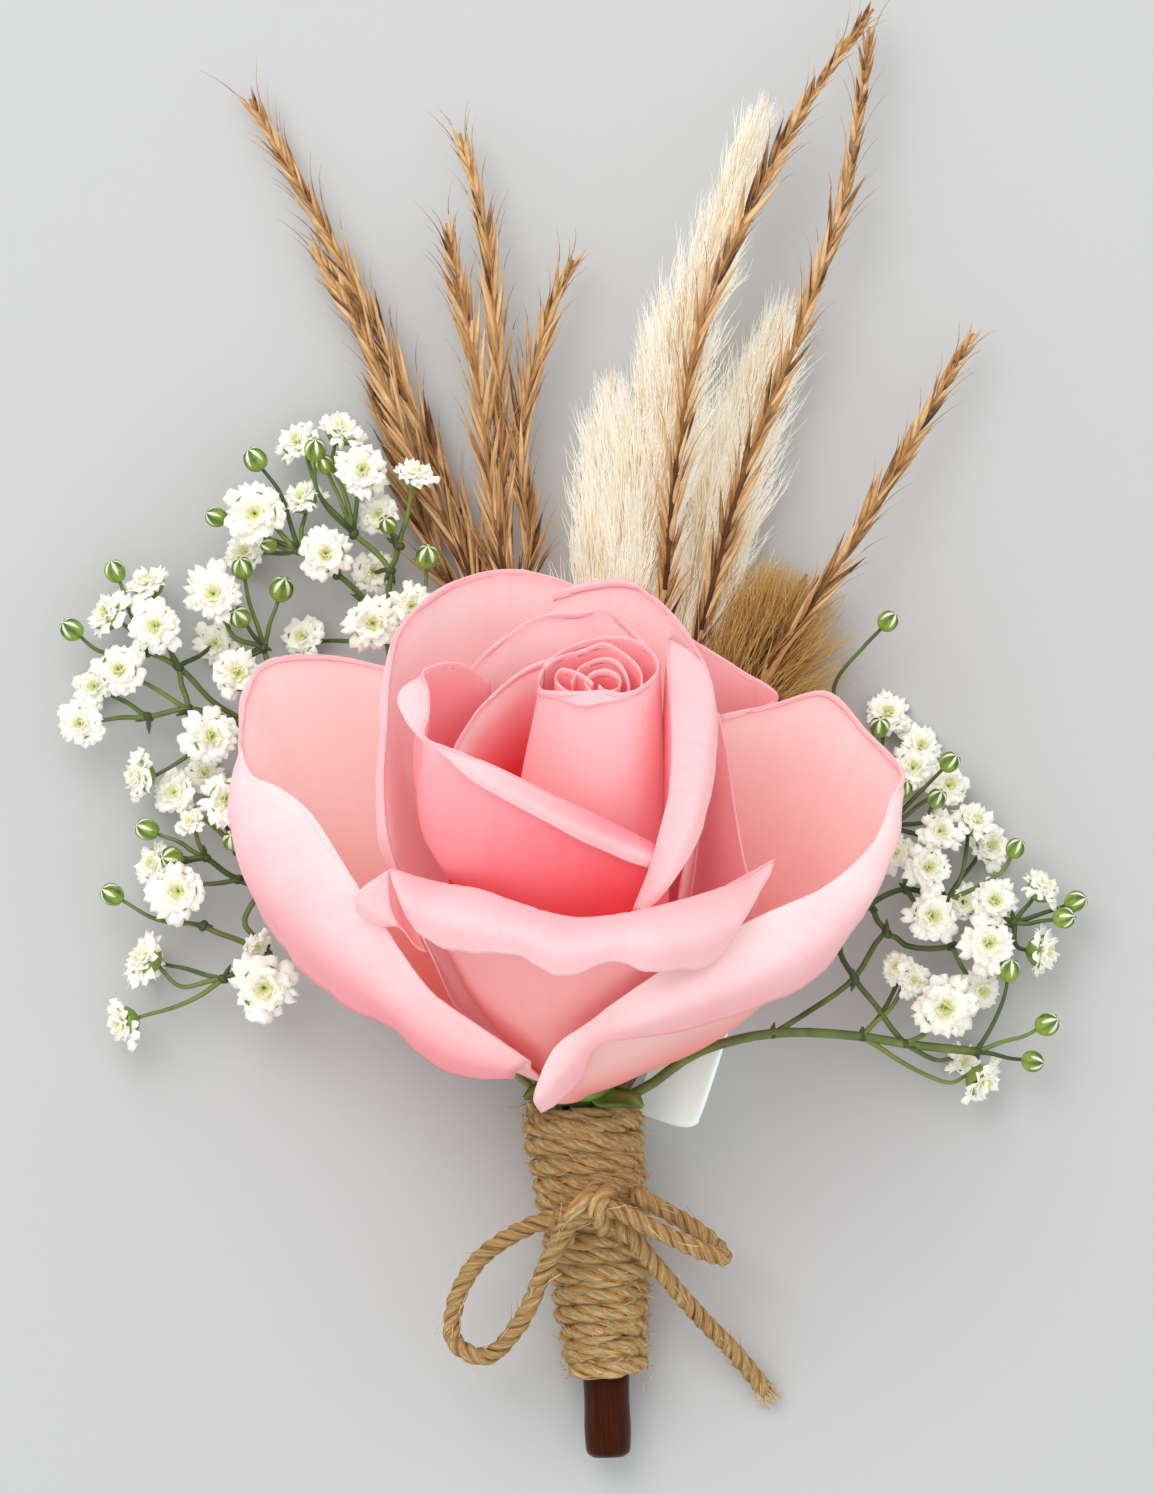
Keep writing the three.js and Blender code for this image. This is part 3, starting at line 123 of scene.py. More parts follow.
def spline(knots: Array, steps: int) -> Array:
    """Centripetal Catmull-Rom curve: each span's end slopes come from its four knots,
    weighted by the square roots of the distances between them.

    Args:
        knots: (n, 3) points that the curve passes through.
        steps: number of equal parameter steps.
    Returns:
        (steps + 1, 3) points.
    """
    p = np.vstack([2 * knots[0] - knots[1], knots, 2 * knots[-1] - knots[-2]])
    x = np.linspace(0, len(knots) - 1, steps + 1)
    i = np.clip(np.floor(x).astype(int), 0, len(knots) - 2)
    f = (x - i)[:, None]
    p0, p1, p2, p3 = p[i], p[i + 1], p[i + 2], p[i + 3]
    d0, d1, d2 = (np.maximum(np.linalg.norm(b - a, axis=1, keepdims=True), 1e-9) ** 0.5
                  for a, b in ((p0, p1), (p1, p2), (p2, p3)))
    t1 = ((p1 - p0) / d0 - (p2 - p0) / (d0 + d1) + (p2 - p1) / d1) * d1
    t2 = ((p2 - p1) / d1 - (p3 - p1) / (d1 + d2) + (p3 - p2) / d2) * d1
    return (p1 + t1 * f + (3 * (p2 - p1) - 2 * t1 - t2) * f ** 2
            + (2 * (p1 - p2) + t1 + t2) * f ** 3)


def lengths(path: Array) -> Array:
    """Distance run along a path at each of its points."""
    return np.concatenate([[0], np.cumsum(np.linalg.norm(np.diff(path, axis=0), axis=1))])


def points_at(path: Array, distance: Array) -> Array:
    """Points of a path at distances along it."""
    run = lengths(path)
    return np.stack([np.interp(distance, run, path[:, k]) for k in range(3)], axis=1)


def evened(path: Array, count: int) -> Array:
    """A path's points taken again at equal distances along it."""
    return points_at(path, np.linspace(0, lengths(path)[-1], count))


def knot_weights(n: int, t: Array) -> Array:
    """Catmull-Rom weights of n even knots, with a ghost knot mirrored beyond each end.

    Args:
        n: number of knots.
        t: parameters from 0 to 1.
    Returns:
        (len(t), n) weights, each row of sum 1.
    """
    x = t * (n - 1)
    i = np.clip(np.floor(x).astype(int), 0, n - 2)
    f = x - i
    w = np.zeros((len(t), n))
    rows = np.arange(len(t))
    parts = ((-f + 2 * f**2 - f**3) / 2, (2 - 5 * f**2 + 3 * f**3) / 2,
             (f + 4 * f**2 - 3 * f**3) / 2, (f**3 - f**2) / 2)
    for k, part in enumerate(parts):
        j = i + k - 1
        low, high = j < 0, j > n - 1
        inner = ~(low | high)
        w[rows[inner], j[inner]] += part[inner]
        for ghost, end, beside in ((low, 0, 1), (high, n - 1, n - 2)):
            w[rows[ghost], end] += 2 * part[ghost]
            w[rows[ghost], beside] -= part[ghost]
    return w


def loft(net: Array, across: int, along: int) -> Array:
    """Smooth surface through a net: both ways a Catmull-Rom blend of its knots.

    Args:
        net: (rows, columns, 3) points, rows base to lip.
        across: points across.
        along: points from base to lip.
    Returns:
        (along, across, 3) points.
    """
    rows = knot_weights(net.shape[0], np.linspace(0, 1, along))
    columns = knot_weights(net.shape[1], np.linspace(0, 1, across))
    return np.einsum("ar,bc,rcx->abx", rows, columns, net)


@dataclass
class Surface:
    """Points in drawing millimetres with their faces and one value of each kind a point."""

    points: Array
    quads: Array
    tris: Array = field(default_factory=lambda: np.zeros((0, 3), int))
    values: dict = field(default_factory=dict)

    def outward(self) -> "Surface":
        """Closed shapes with faces outwards: the signed volume sum a·(b×c)/6 is positive."""
        q = self.quads
        tri = np.concatenate([q[:, [0, 1, 2]], q[:, [0, 2, 3]], self.tris])
        a, b, c = (self.points[tri[:, k]] for k in range(3))
        if np.einsum("ij,ij->", a, np.cross(b, c)) > 0:
            return self
        return Surface(self.points, self.quads[:, ::-1], self.tris[:, ::-1], self.values)

    def with_values(self, **values: object) -> "Surface":
        """The same surface with these values, a number standing for all points."""
        full = {k: np.broadcast_to(np.asarray(v, float), len(self.points)) for k, v in values.items()}
        return Surface(self.points, self.quads, self.tris, {**self.values, **full})

    def flattened(self, lowest: float) -> "Surface":
        """Pressed flat where it would sink under this height."""
        return Surface(off_table(self.points, lowest), self.quads, self.tris, self.values)


def joined(parts: Iterable[Surface]) -> Surface:
    """Several surfaces as one. A value that one of them lacks is 0 there."""
    parts = list(parts)
    starts = np.cumsum([0] + [len(p.points) for p in parts])
    names = sorted(set(n for p in parts for n in p.values))
    return Surface(
        np.concatenate([p.points for p in parts]),
        np.concatenate([p.quads + s for p, s in zip(parts, starts)]).astype(int),
        np.concatenate([p.tris + s for p, s in zip(parts, starts)]).astype(int),
        {n: np.concatenate([p.values.get(n, np.zeros(len(p.points))) for p in parts]) for n in names},
    )


def grid_quads(rows: int, columns: int, around: bool = False) -> Array:
    """Faces of a grid of points, row by row; around closes each row on itself."""
    i = np.arange(rows - 1)[:, None]
    j = np.arange(columns if around else columns - 1)[None, :]
    k = (j + 1) % columns
    low, high = i * columns, (i + 1) * columns
    return stacked(low + j, low + k, high + k, high + j).reshape(-1, 4)


def sheet(grid: Array, **values: Array) -> Surface:
    """An open sheet from a grid of points; along and across run from 0 to 1 over it."""
    rows, columns = grid.shape[:2]
    full = {"along": np.linspace(0, 1, rows)[:, None], "across": np.linspace(0, 1, columns), **values}
    full = {k: np.broadcast_to(v, (rows, columns)).ravel() for k, v in full.items()}
    return Surface(grid.reshape(-1, 3), grid_quads(rows, columns), values=full)


def capped(rings: Array, hubs: Array, **values: tuple) -> Surface:
    """Closed shapes, each a stack of rings with a hub at either end.

    Args:
        rings: (shapes, rings, sides, 3) points.
        hubs: (shapes, 2, 3) points.
        **values: pairs, a value's part for the rings and its part for the hubs.
    Returns:
        The shapes as one surface, faces outwards.
    """
    shapes, count, sides = rings.shape[:3]
    each = count * sides
    shape = np.arange(shapes)[:, None, None]
    j = np.arange(sides)
    k = (j + 1) % sides
    fans = np.concatenate([np.stack([np.zeros(sides, int), k, j], 1),
                           np.stack([np.ones(sides, int), each - sides + j, each - sides + k], 1)])
    tris = fans + np.where([True, False, False], each * shapes + 2 * shape, each * shape)
    full = {
        name: np.concatenate([np.broadcast_to(on_rings, (shapes, count, sides)).ravel(),
                              np.broadcast_to(on_hubs, (shapes, 2)).ravel()])
        for name, (on_rings, on_hubs) in values.items()
    }
    return Surface(np.concatenate([rings.reshape(-1, 3), hubs.reshape(-1, 3)]),
                   (grid_quads(count, sides, around=True) + each * shape).reshape(-1, 4),
                   tris.reshape(-1, 3), full).outward()


def tubes(paths: Array, radii: object, sides: int, reference: Sequence = UP,
          section: Callable = None, **values: object) -> Surface:
    """Closed tubes: ring point = path + r (side cos a + up sin a), side = along × reference.

    Args:
        paths: (tubes, points, 3), or one path.
        radii: numbers that fit (tubes, points).
        sides: points a ring.
        reference: a direction that no tube runs along.
        section: gives the share of the radius at (angle, distance run), for a shaped section.
        **values: one value a tube, or one for all.
    Returns:
        The surface, with values run (0 to 1 along) and mm (distance run).
    """
    paths = np.asarray(paths, float)
    paths = paths if paths.ndim == 3 else paths[None]
    along = unit(np.gradient(paths, axis=1))
    side = unit(np.cross(along, np.asarray(reference, float)))
    up = np.cross(side, along)
    angle = circle(sides)
    mm = np.pad(np.cumsum(np.linalg.norm(np.diff(paths, axis=1), axis=2), axis=1), ((0, 0), (1, 0)))
    radius = np.broadcast_to(radii, paths.shape[:2])[:, :, None]
    if section is not None:
        radius = radius * section(angle, mm[:, :, None])
    ring = side[:, :, None] * np.cos(angle)[:, None] + up[:, :, None] * np.sin(angle)[:, None]
    own = {name: (np.reshape(v, (-1, 1, 1)), np.reshape(v, (-1, 1))) for name, v in values.items()}
    return capped(paths[:, :, None] + radius[..., None] * ring, paths[:, [0, -1]],
                  run=(shares(paths.shape[1]), (0, 1)), mm=(mm[:, :, None], mm[:, [0, -1]]), **own)


def turned(profile: Sequence, sides: int, frame_of: Callable) -> Surface:
    """Turned shape: ring point = frame_of(azimuth, radius, height), closed at both ends.

    Args:
        profile: (height, radius) pairs.
        sides: points a ring.
        frame_of: turns azimuths in degrees, radii and heights into points.
    Returns:
        The closed surface.
    """
    high, wide = np.asarray(profile, float).T
    azimuth = np.linspace(0, 360, sides, endpoint=False)
    rings = frame_of(azimuth[None, :], wide[:, None], high[:, None])
    hubs = frame_of(np.zeros(2), np.zeros(2), high[[0, -1]])
    return capped(rings[None], hubs[None])


def frames(directions: Array, roll: Array = 0.0) -> Array:
    """Axes for copies: Z along each direction, X level and then rolled about Z.

    Args:
        directions: (n, 3).
        roll: angles in radians.
    Returns:
        (n, 3, 3), the rows X, Y and Z.
    """
    steep = 0.94
    z = unit(np.asarray(directions, float))
    reference = np.where(np.abs(z[:, 2:3]) < steep, UP, np.array([0.0, 1.0, 0.0]))
    x = unit(np.cross(reference, z))
    y = np.cross(z, x)
    c, s = (np.broadcast_to(f(roll), len(z))[:, None] for f in (np.cos, np.sin))
    return np.stack([x * c + y * s, y * c - x * s, z], axis=1)


def copies(template: Surface, origins: Array, axes: Array, scales: Array, **values: Array) -> Surface:
    """Copies of one shape: point = origin + scale * (x X + y Y + z Z).

    Args:
        template: the shape.
        origins: (n, 3).
        axes: (n, 3, 3), rows X, Y and Z.
        scales: (n,) or (n, 3).
        **values: one value a copy.
    Returns:
        The copies as one surface.
    """
    origins = np.asarray(origins, float)
    n, size = len(origins), len(template.points)
    scales = np.asarray(scales, float).reshape(n, -1) * np.ones(3)
    points = np.einsum("pa,kab->kpb", template.points, axes * scales[:, :, None]) + origins[:, None]
    shift = size * np.arange(n)[:, None, None]
    full = {k: np.tile(v, n) for k, v in template.values.items()}
    full.update({k: np.repeat(np.broadcast_to(v, n), size) for k, v in values.items()})
    return Surface(points.reshape(-1, 3), (template.quads + shift).reshape(-1, 4),
                   (template.tris + shift).reshape(-1, 3), full)


def placed_shift() -> Array:
    """How far the CAD build moved its drawing to centre it, in millimetres, from the stick's box."""
    low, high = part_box("wooden_stick")
    return np.array([high.x / MM - STICK_RIGHT_X, low.y / MM - STICK_END_Y, 0.0])


SHIFT = placed_shift()


def metres(points: Array) -> Array:
    """Drawing millimetres as metres in the frame."""
    return (points + SHIFT) * MM


# Shader tools

def math_node(operation: str, reflected: bool = False) -> Callable:
    """A method of Value that adds one Math node.

    Args:
        operation: the node's operation.
        reflected: whether the other operand comes first.
    Returns:
        The method.
    """
    def method(value: "Value", *others: object) -> "Value":
        """Adds the node on the value and the other operand, if there is one."""
        operands = (*others, value) if reflected else (value, *others)
        return value.look.node("ShaderNodeMath", {"operation": operation}, dict(enumerate(operands)))
    return method


class Value:
    """A number's socket: the operators that are used on it add their Math nodes."""

    __add__, __radd__ = math_node("ADD"), math_node("ADD", reflected=True)
    __sub__, __rsub__ = math_node("SUBTRACT"), math_node("SUBTRACT", reflected=True)
    __mul__, __rmul__ = math_node("MULTIPLY"), math_node("MULTIPLY", reflected=True)
    __pow__ = math_node("POWER")
    wave = math_node("SINE")

    def __init__(self, look: "Look", socket: bpy.types.NodeSocket) -> None:
        """Keeps the socket and the material it is in."""
        self.look = look
        self.socket = socket

    def between(self, low: float, high: float) -> "Value":
        """Smooth step from low to high."""
        return self.look.node("ShaderNodeMapRange", {"interpolation_type": "SMOOTHSTEP"},
                              {"Value": self, "From Min": low, "From Max": high})


class Look:
    """One material and the calls that add to its node tree."""

    def __init__(self, name: str) -> None:
        """Makes a material with a plain surface shader."""
        self.material = bpy.data.materials.new(name)
        self.material.use_nodes = True
        self.tree = self.material.node_tree
        self.shader = self.tree.nodes["Principled BSDF"]

    def feed(self, socket: bpy.types.NodeSocket, value: object) -> None:
        """Links a socket or sets its constant."""
        if isinstance(value, Value):
            self.tree.links.new(value.socket, socket)
        elif isinstance(value, tuple) and len(value) == 3 and len(socket.default_value) == 4:
            socket.default_value = (*value, 1.0)
        else:
            socket.default_value = value

    def node(self, kind: str, settings: dict = None, inputs: dict = None, output: object = 0) -> Value:
        """Adds a node.

        Args:
            kind: the node's type.
            settings: its properties, and stops for a ramp.
            inputs: values or links of its sockets, by name or place.
            output: the output to return, by name or place.
        Returns:
            The output, ready for arithmetic.
        """
        made = self.tree.nodes.new(kind)
        for key, value in (settings or {}).items():
            if key == "stops":
                self._stops(made.color_ramp, value)
            else:
                setattr(made, key, value)
        for key, value in (inputs or {}).items():
            self.feed(made.inputs[key], value)
        return Value(self, made.outputs[output])

    @staticmethod
    def _stops(ramp: bpy.types.ColorRamp, stops: Sequence) -> None:
        """Sets a ramp's stops from (place, colour) pairs."""
        for place, colour in stops[2:]:
            ramp.elements.new(place)
        for element, (place, colour) in zip(ramp.elements, stops):
            element.position = place
            element.color = (*colour, 1.0)

    def ramp(self, factor: Value, *stops: tuple) -> Value:
        """Colour ramp over a value."""
        return self.node("ShaderNodeValToRGB", {"stops": stops}, {"Fac": factor})

    def point_values(self, *names: str) -> list:
        """Per-point values of the piece."""
        return [self.node("ShaderNodeAttribute", {"attribute_name": n}, output="Fac") for n in names]

    def place(self) -> Value:
        """Object coordinates, metres."""
        return self.node("ShaderNodeTexCoord", output="Object")

    def vector(self, x: object, y: object, z: object = 0.0) -> Value:
        """Three values as a vector."""
        return self.node("ShaderNodeCombineXYZ", {}, {0: x, 1: y, 2: z})

    def noise(self, vector: Value, scale: float, detail: float = 3.0, rough: float = 0.55) -> Value:
        """Noise from 0 to 1."""
        return self.node("ShaderNodeTexNoise", {}, {"Vector": vector, "Scale": scale, "Detail": detail,
                                                    "Roughness": rough})

    def streaks(self, x: object, y: object, z: object = 0.0, detail: float = 2.0,
                rough: float = 0.55) -> Value:
        """Noise over three values of the surface."""
        return self.noise(self.vector(x, y, z), 1.0, detail, rough)

    def mixed(self, factor: object, a: object, b: object, blend: str = "MIX") -> Value:
        """Two colours mixed; on a colour Mix node, sockets 6 and 7 and output 2 are the colours."""
        return self.node("ShaderNodeMix", {"data_type": "RGBA", "blend_type": blend, "clamp_factor": True},
                         {0: factor, 6: a, 7: b}, 2)

    def bump(self, height: Value, strength: float, distance: float) -> Value:
        """Bump normal; distance in metres."""
        return self.node("ShaderNodeBump", {}, {"Height": height, "Strength": strength, "Distance": distance})

    def surface(self, **sockets: object) -> bpy.types.Material:
        """Feeds the surface shader by socket name, spaces as underscores, and returns the material."""
        for key, value in sockets.items():
            self.feed(self.shader.inputs[key.replace("_", " ")], value)
        return self.material


@dataclass(frozen=True)
class PetalFinish:
    """Rose petal: deep coral to pale blush by its tint, fine veins fanning from the base, a peach painted
    shade low down and a painted glow for the light through it.
    """

    deep: tuple = (0.86, 0.085, 0.105)
    rosy: tuple = (0.93, 0.22, 0.25)
    pink: tuple = (0.95, 0.44, 0.46)
    pale: tuple = (0.97, 0.88, 0.87)
    # Peach of the painted shade in the deep parts near the base.
    peach: tuple = (0.83, 0.42, 0.29)
    dry: tuple = (0.42, 0.13, 0.07)
    # Painted glow: emission of the petal's own colour that stands for light shining through it.
    painted_glow: float = 0.08
    veins: float = 46.0
    fine_veins: float = 150.0

    def build(self) -> bpy.types.Material:
        """Makes the material."""
        k = Look("rose_petal")
        tint, warm, dry, across, along = k.point_values("tint", "warm", "dry", "across", "along")
        cloud = k.noise(k.place(), 130.0)
        vein = k.streaks(across * self.veins, along * 2.2, warm, 4.0, 0.6)
        fine = k.streaks(across * self.fine_veins, along * 5.0)
        level = tint + (cloud - 0.5) * 0.12 + (vein - 0.5) * 0.035
        colour = k.ramp(level, (0.0, self.deep), (0.30, self.rosy), (0.62, self.pink), (1.0, self.pale))
        # Peach painted shade, strongest toward the base.
        colour = k.mixed(warm * 0.75, colour, self.peach)
        colour = k.mixed((0.52 - vein).between(0.0, 0.22) * 0.035, colour, self.rosy, "MULTIPLY")
        colour = k.mixed((dry + (cloud - 0.5) * 0.8).between(0.35, 1.0) * 0.7, colour, self.dry)
        height = vein * 0.7 + fine * 0.35 + k.noise(k.place(), 420.0, 2.0) * 0.3
        # The emission is painted light, the glow of light passing through the thin petals.
        return k.surface(Base_Color=colour, Roughness=0.52 + cloud * 0.12,
                         Normal=k.bump(height, 0.2, 0.00016), Subsurface_Weight=0.08,
                         Subsurface_Radius=(0.0020, 0.0010, 0.0009), Subsurface_Scale=1.0,
                         Specular_IOR_Level=0.25, Emission_Color=colour, Emission_Strength=self.painted_glow)


@dataclass(frozen=True)
class TwineFinish:
    """Jute twine: golden strands, painted shade darkening the grooves between plies, and fibre streaks."""

    name: str = "jute_twine_painted_lighter"
    # The default colours are the sleeve's: the same jute as the bow's cord, painted lighter against the shade
    # it lies in.
    light: tuple = (1.0, 0.72, 0.35)
    middle: tuple = (0.78, 0.395, 0.11)
    dark: tuple = (0.10, 0.040, 0.012)

    def build(self) -> bpy.types.Material:
        """Makes the material."""
        k = Look(self.name)
        crown, turn, mm = k.point_values("crown", "turn", "mm")
        streak = k.streaks(turn * 5.5, mm * 0.3, detail=4.0, rough=0.7)
        thread = k.streaks(turn * 14.0, mm * 0.7)
        patch = k.noise(k.place(), 260.0, 2.0)
        # Low crown, in a groove between plies, runs toward dark: painted shade in the grooves.
        level = crown * 0.62 + (streak - 0.5) * 2.0 + (thread - 0.5) * 0.9 + (patch - 0.5) * 0.4 + 0.2
        colour = k.ramp(level, (0.0, self.dark), (0.36, self.middle), (0.85, self.light))
        height = streak * 1.2 + thread * 0.7
        return k.surface(Base_Color=colour, Roughness=0.86 - thread * 0.1,
                         Normal=k.bump(height, 1.0, 0.00045), Specular_IOR_Level=0.15)


@dataclass(frozen=True)
class FibreFinish:
    """Loose fibres and hairs: one colour from root to tip, each a little different. A small glow
    stands for the light that passes from hair to hair."""

    name: str
    root: tuple
    tip: tuple
    painted_glow: float = 0.0

    def build(self) -> bpy.types.Material:
        """Makes the material."""
        k = Look(self.name)
        run, own = k.point_values("run", "own")
        grain = k.noise(k.place(), 900.0, 1.0)
        colour = k.mixed(run.between(0.0, 0.9), self.root, self.tip)
        colour = k.mixed(own * 0.35 + grain * 0.1, colour, tuple(c * 0.75 for c in self.root))
        return k.surface(Base_Color=colour, Roughness=0.75 + grain * 0.1, Specular_IOR_Level=0.3,
                         Emission_Color=colour, Emission_Strength=self.painted_glow,
                         Normal=k.bump(grain, 0.2, 0.0001))


@dataclass(frozen=True)
class StrawFinish:
    """Dry grass: straw streaks along each husk, brown at its root and on its shaded side."""

    name: str = "dry_grass"
    pale: tuple = (0.78, 0.50, 0.24)
    gold: tuple = (0.46, 0.23, 0.075)
    brown: tuple = (0.075, 0.025, 0.008)

    def build(self) -> bpy.types.Material:
        """Makes the material."""
        k = Look(self.name)
        run, own, across = k.point_values("run", "own", "across")
        streak = k.streaks(across * 9.0, run * 2.2, own * 40.0, 3.0)
        level = own * 0.75 + run * 0.25 + across * 0.2 + (streak - 0.5) * 1.5 - 0.16
        colour = k.ramp(level, (0.0, self.brown), (0.38, self.gold), (0.85, self.pale))
        return k.surface(Base_Color=colour, Roughness=0.55 + streak * 0.2,
                         Normal=k.bump(streak, 0.5, 0.0002), Specular_IOR_Level=0.35)


@dataclass(frozen=True)
class GreenFinish:
    """Fresh stalk or sepal: mottled green, lighter along ribs."""

    name: str
    light: tuple
    dark: tuple
    roughness: float = 0.45

    def build(self) -> bpy.types.Material:
        """Makes the material."""
        k = Look(self.name)
        own, rib = k.point_values("own", "rib")
        mottle = k.noise(k.place(), 330.0)
        colour = k.mixed((mottle + own * 0.7 + rib * 0.5 - 0.3).between(0.1, 0.95), self.dark, self.light)
        return k.surface(Base_Color=colour, Roughness=self.roughness + mottle * 0.12,
                         Normal=k.bump(mottle + rib * 0.6, 0.35, 0.0002))


@dataclass(frozen=True)
class FloretFinish:
    """Baby's breath petal: white, cream toward the middle as painted shade in its folds, yellow-green at the
    heart, and a painted glow.
    """

    white: tuple = (0.93, 0.92, 0.85)
    cream: tuple = (0.86, 0.82, 0.64)
    heart: tuple = (0.62, 0.64, 0.24)

    def build(self) -> bpy.types.Material:
        """Makes the material."""
        k = Look("floret_petal")
        out, own, across = k.point_values("out", "own", "across")
        vein = k.streaks(across * 9.0, out * 1.2, own * 11.0)
        # Cream toward the middle: painted shade in the folds between the petals.
        colour = k.mixed(out.between(0.05, 0.55) * 0.9 + vein * 0.1, self.cream, self.white)
        colour = k.mixed((own - 0.35).between(0.0, 0.6) * 0.45, colour, self.cream)
        colour = k.mixed((0.34 - out).between(0.0, 0.28) * 0.85, colour, self.heart)
        # The emission is a painted glow that brightens the petals as light passing through them would.
        return k.surface(Base_Color=colour, Roughness=0.6 + vein * 0.1, Specular_IOR_Level=0.3,
                         Emission_Color=colour, Emission_Strength=0.14, Normal=k.bump(vein, 0.3, 0.00012))


@dataclass(frozen=True)
class BudFinish:
    """Bud: cream stripes between dark green sepals, greener at its base."""

    cream: tuple = (0.80, 0.82, 0.58)
    light: tuple = (0.27, 0.40, 0.05)
    dark: tuple = (0.05, 0.11, 0.014)

    def build(self) -> bpy.types.Material:
        """Makes the material."""
        k = Look("bud_skin")
        stripe, rise = k.point_values("stripe", "rise")
        mottle = k.noise(k.place(), 700.0, 2.0)
        green = k.mixed((mottle + stripe * 0.5 - rise * 0.3).between(0.2, 0.9), self.dark, self.light)
        mask = (stripe + rise * 0.45 + (mottle - 0.5) * 0.15).between(0.86, 1.02)
        return k.surface(Base_Color=k.mixed(mask, green, self.cream), Roughness=0.5 + mottle * 0.1,
                         Normal=k.bump(mottle - mask * 0.8, 0.4, 0.00015))


@dataclass(frozen=True)
class WoodFinish:
    """Glossy dark brown stick with long grain and fine pores."""

    light: tuple = (0.066, 0.013, 0.005)
    dark: tuple = (0.012, 0.003, 0.0015)
    gloss_tint: tuple = (0.8, 0.35, 0.2)

    def build(self) -> bpy.types.Material:
        """Makes the material."""
        k = Look("dark_wood")
        around, mm = k.point_values("around", "mm")
        grain = k.streaks(around * 16.0, mm * 0.14, detail=5.0, rough=0.62)
        pore = k.streaks(around * 70.0, mm * 0.5)
        colour = k.ramp(grain, (0.25, self.dark), (0.75, self.light))
        return k.surface(Base_Color=colour, Roughness=0.2 + pore * 0.2, Specular_IOR_Level=0.2,
                         Specular_Tint=self.gloss_tint, Normal=k.bump(grain + pore * 0.5, 0.35, 0.0002))


@dataclass(frozen=True)
class SatinFinish:
    """White satin: a soft gloss with threads across and a corded edge; its greenish white and glow are
    painted light.
    """

    # Greenish white that cancels the pink light bounced onto it from the rose: painted light.
    white: tuple = (0.82, 0.92, 0.89)
    shade: tuple = (0.74, 0.86, 0.80)
    threads: float = 900.0
    # Painted glow that lifts the ribbon out of the shade of the rose.
    painted_glow: float = 0.3

    def build(self) -> bpy.types.Material:
        """Makes the material."""
        k = Look("white_satin")
        across, along = k.point_values("across", "along")
        thread = (along * self.threads).wave() * 0.5 + k.streaks(across * 120.0, along * 40.0)
        cloud = k.noise(k.place(), 150.0, 2.0)
        edge = ((across - 0.5) ** 2.0).between(0.215, 0.235)
        colour = k.mixed(cloud * 0.5 + edge * 0.4, self.white, self.shade)
        return k.surface(Base_Color=colour, Roughness=0.34 + cloud * 0.08, Specular_IOR_Level=0.55,
                         Emission_Color=colour, Emission_Strength=self.painted_glow,
                         Normal=k.bump(thread * 0.5 + edge, 0.25, 0.00012))


def piece(surface: Surface, name: str, material: bpy.types.Material, node: str,
          replaces: bool = True, thickness: float = 0.0) -> bpy.types.Object:
    """Makes a mesh object from a surface, parented to the root body, which can hide the CAD node it stands
    for.

    Args:
        surface: the shape, drawing millimetres.
        name: the object's name.
        material: its finish.
        node: the CAD node that it hides when it replaces it.
        replaces: whether it stands for that node.
        thickness: millimetres for an open sheet, 0 for a closed shape.
    Returns:
        The object.
    """
    mesh = bpy.data.meshes.new(name)
    corners = np.concatenate([surface.quads.ravel(), surface.tris.ravel()]).astype(np.int32)
    counts = np.repeat([4, 3], [len(surface.quads), len(surface.tris)])
    mesh.vertices.add(len(surface.points))
    mesh.vertices.foreach_set("co", metres(surface.points).astype(np.float32).ravel())
    mesh.loops.add(len(corners))
    mesh.loops.foreach_set("vertex_index", corners)
    mesh.polygons.add(len(counts))
    mesh.polygons.foreach_set("loop_start", (np.cumsum(counts) - counts).astype(np.int32))
    mesh.polygons.foreach_set("use_smooth", np.ones(len(counts), bool))
    mesh.update(calc_edges=True)
    for key, values in surface.values.items():
        mesh.attributes.new(key, "FLOAT", "POINT").data.foreach_set("value", values.astype(np.float32))
    made = bpy.data.objects.new(name, mesh)
    bpy.context.scene.collection.objects.link(made)
    mesh.materials.append(material)
    if thickness:
        wall = made.modifiers.new("wall", "SOLIDIFY")
        wall.thickness = thickness * MM
        wall.offset = 0.0
    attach(made, "root")
    if replaces:
        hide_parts(node)
    log.info("%s: %d points, %d faces", name, len(surface.points), len(counts))
    return made


# The handle

class Hand(Enum):
    """The side of the handle that a stem comes out of."""

    LEFT = -1
    RIGHT = 1


class Slot(Enum):
    """A thin stem's place in the bore: angle from level in degrees, millimetres from the middle."""

    LOW = (-34, 3.6)
    SIDE = (-15, 3.6)
    WIDE = (4, 3.6)
    HIGH = (23, 3.6)
    TOP = (45, 3.6)
    INNER = (-6, 2.5)
    CORE = (20, 2.5)


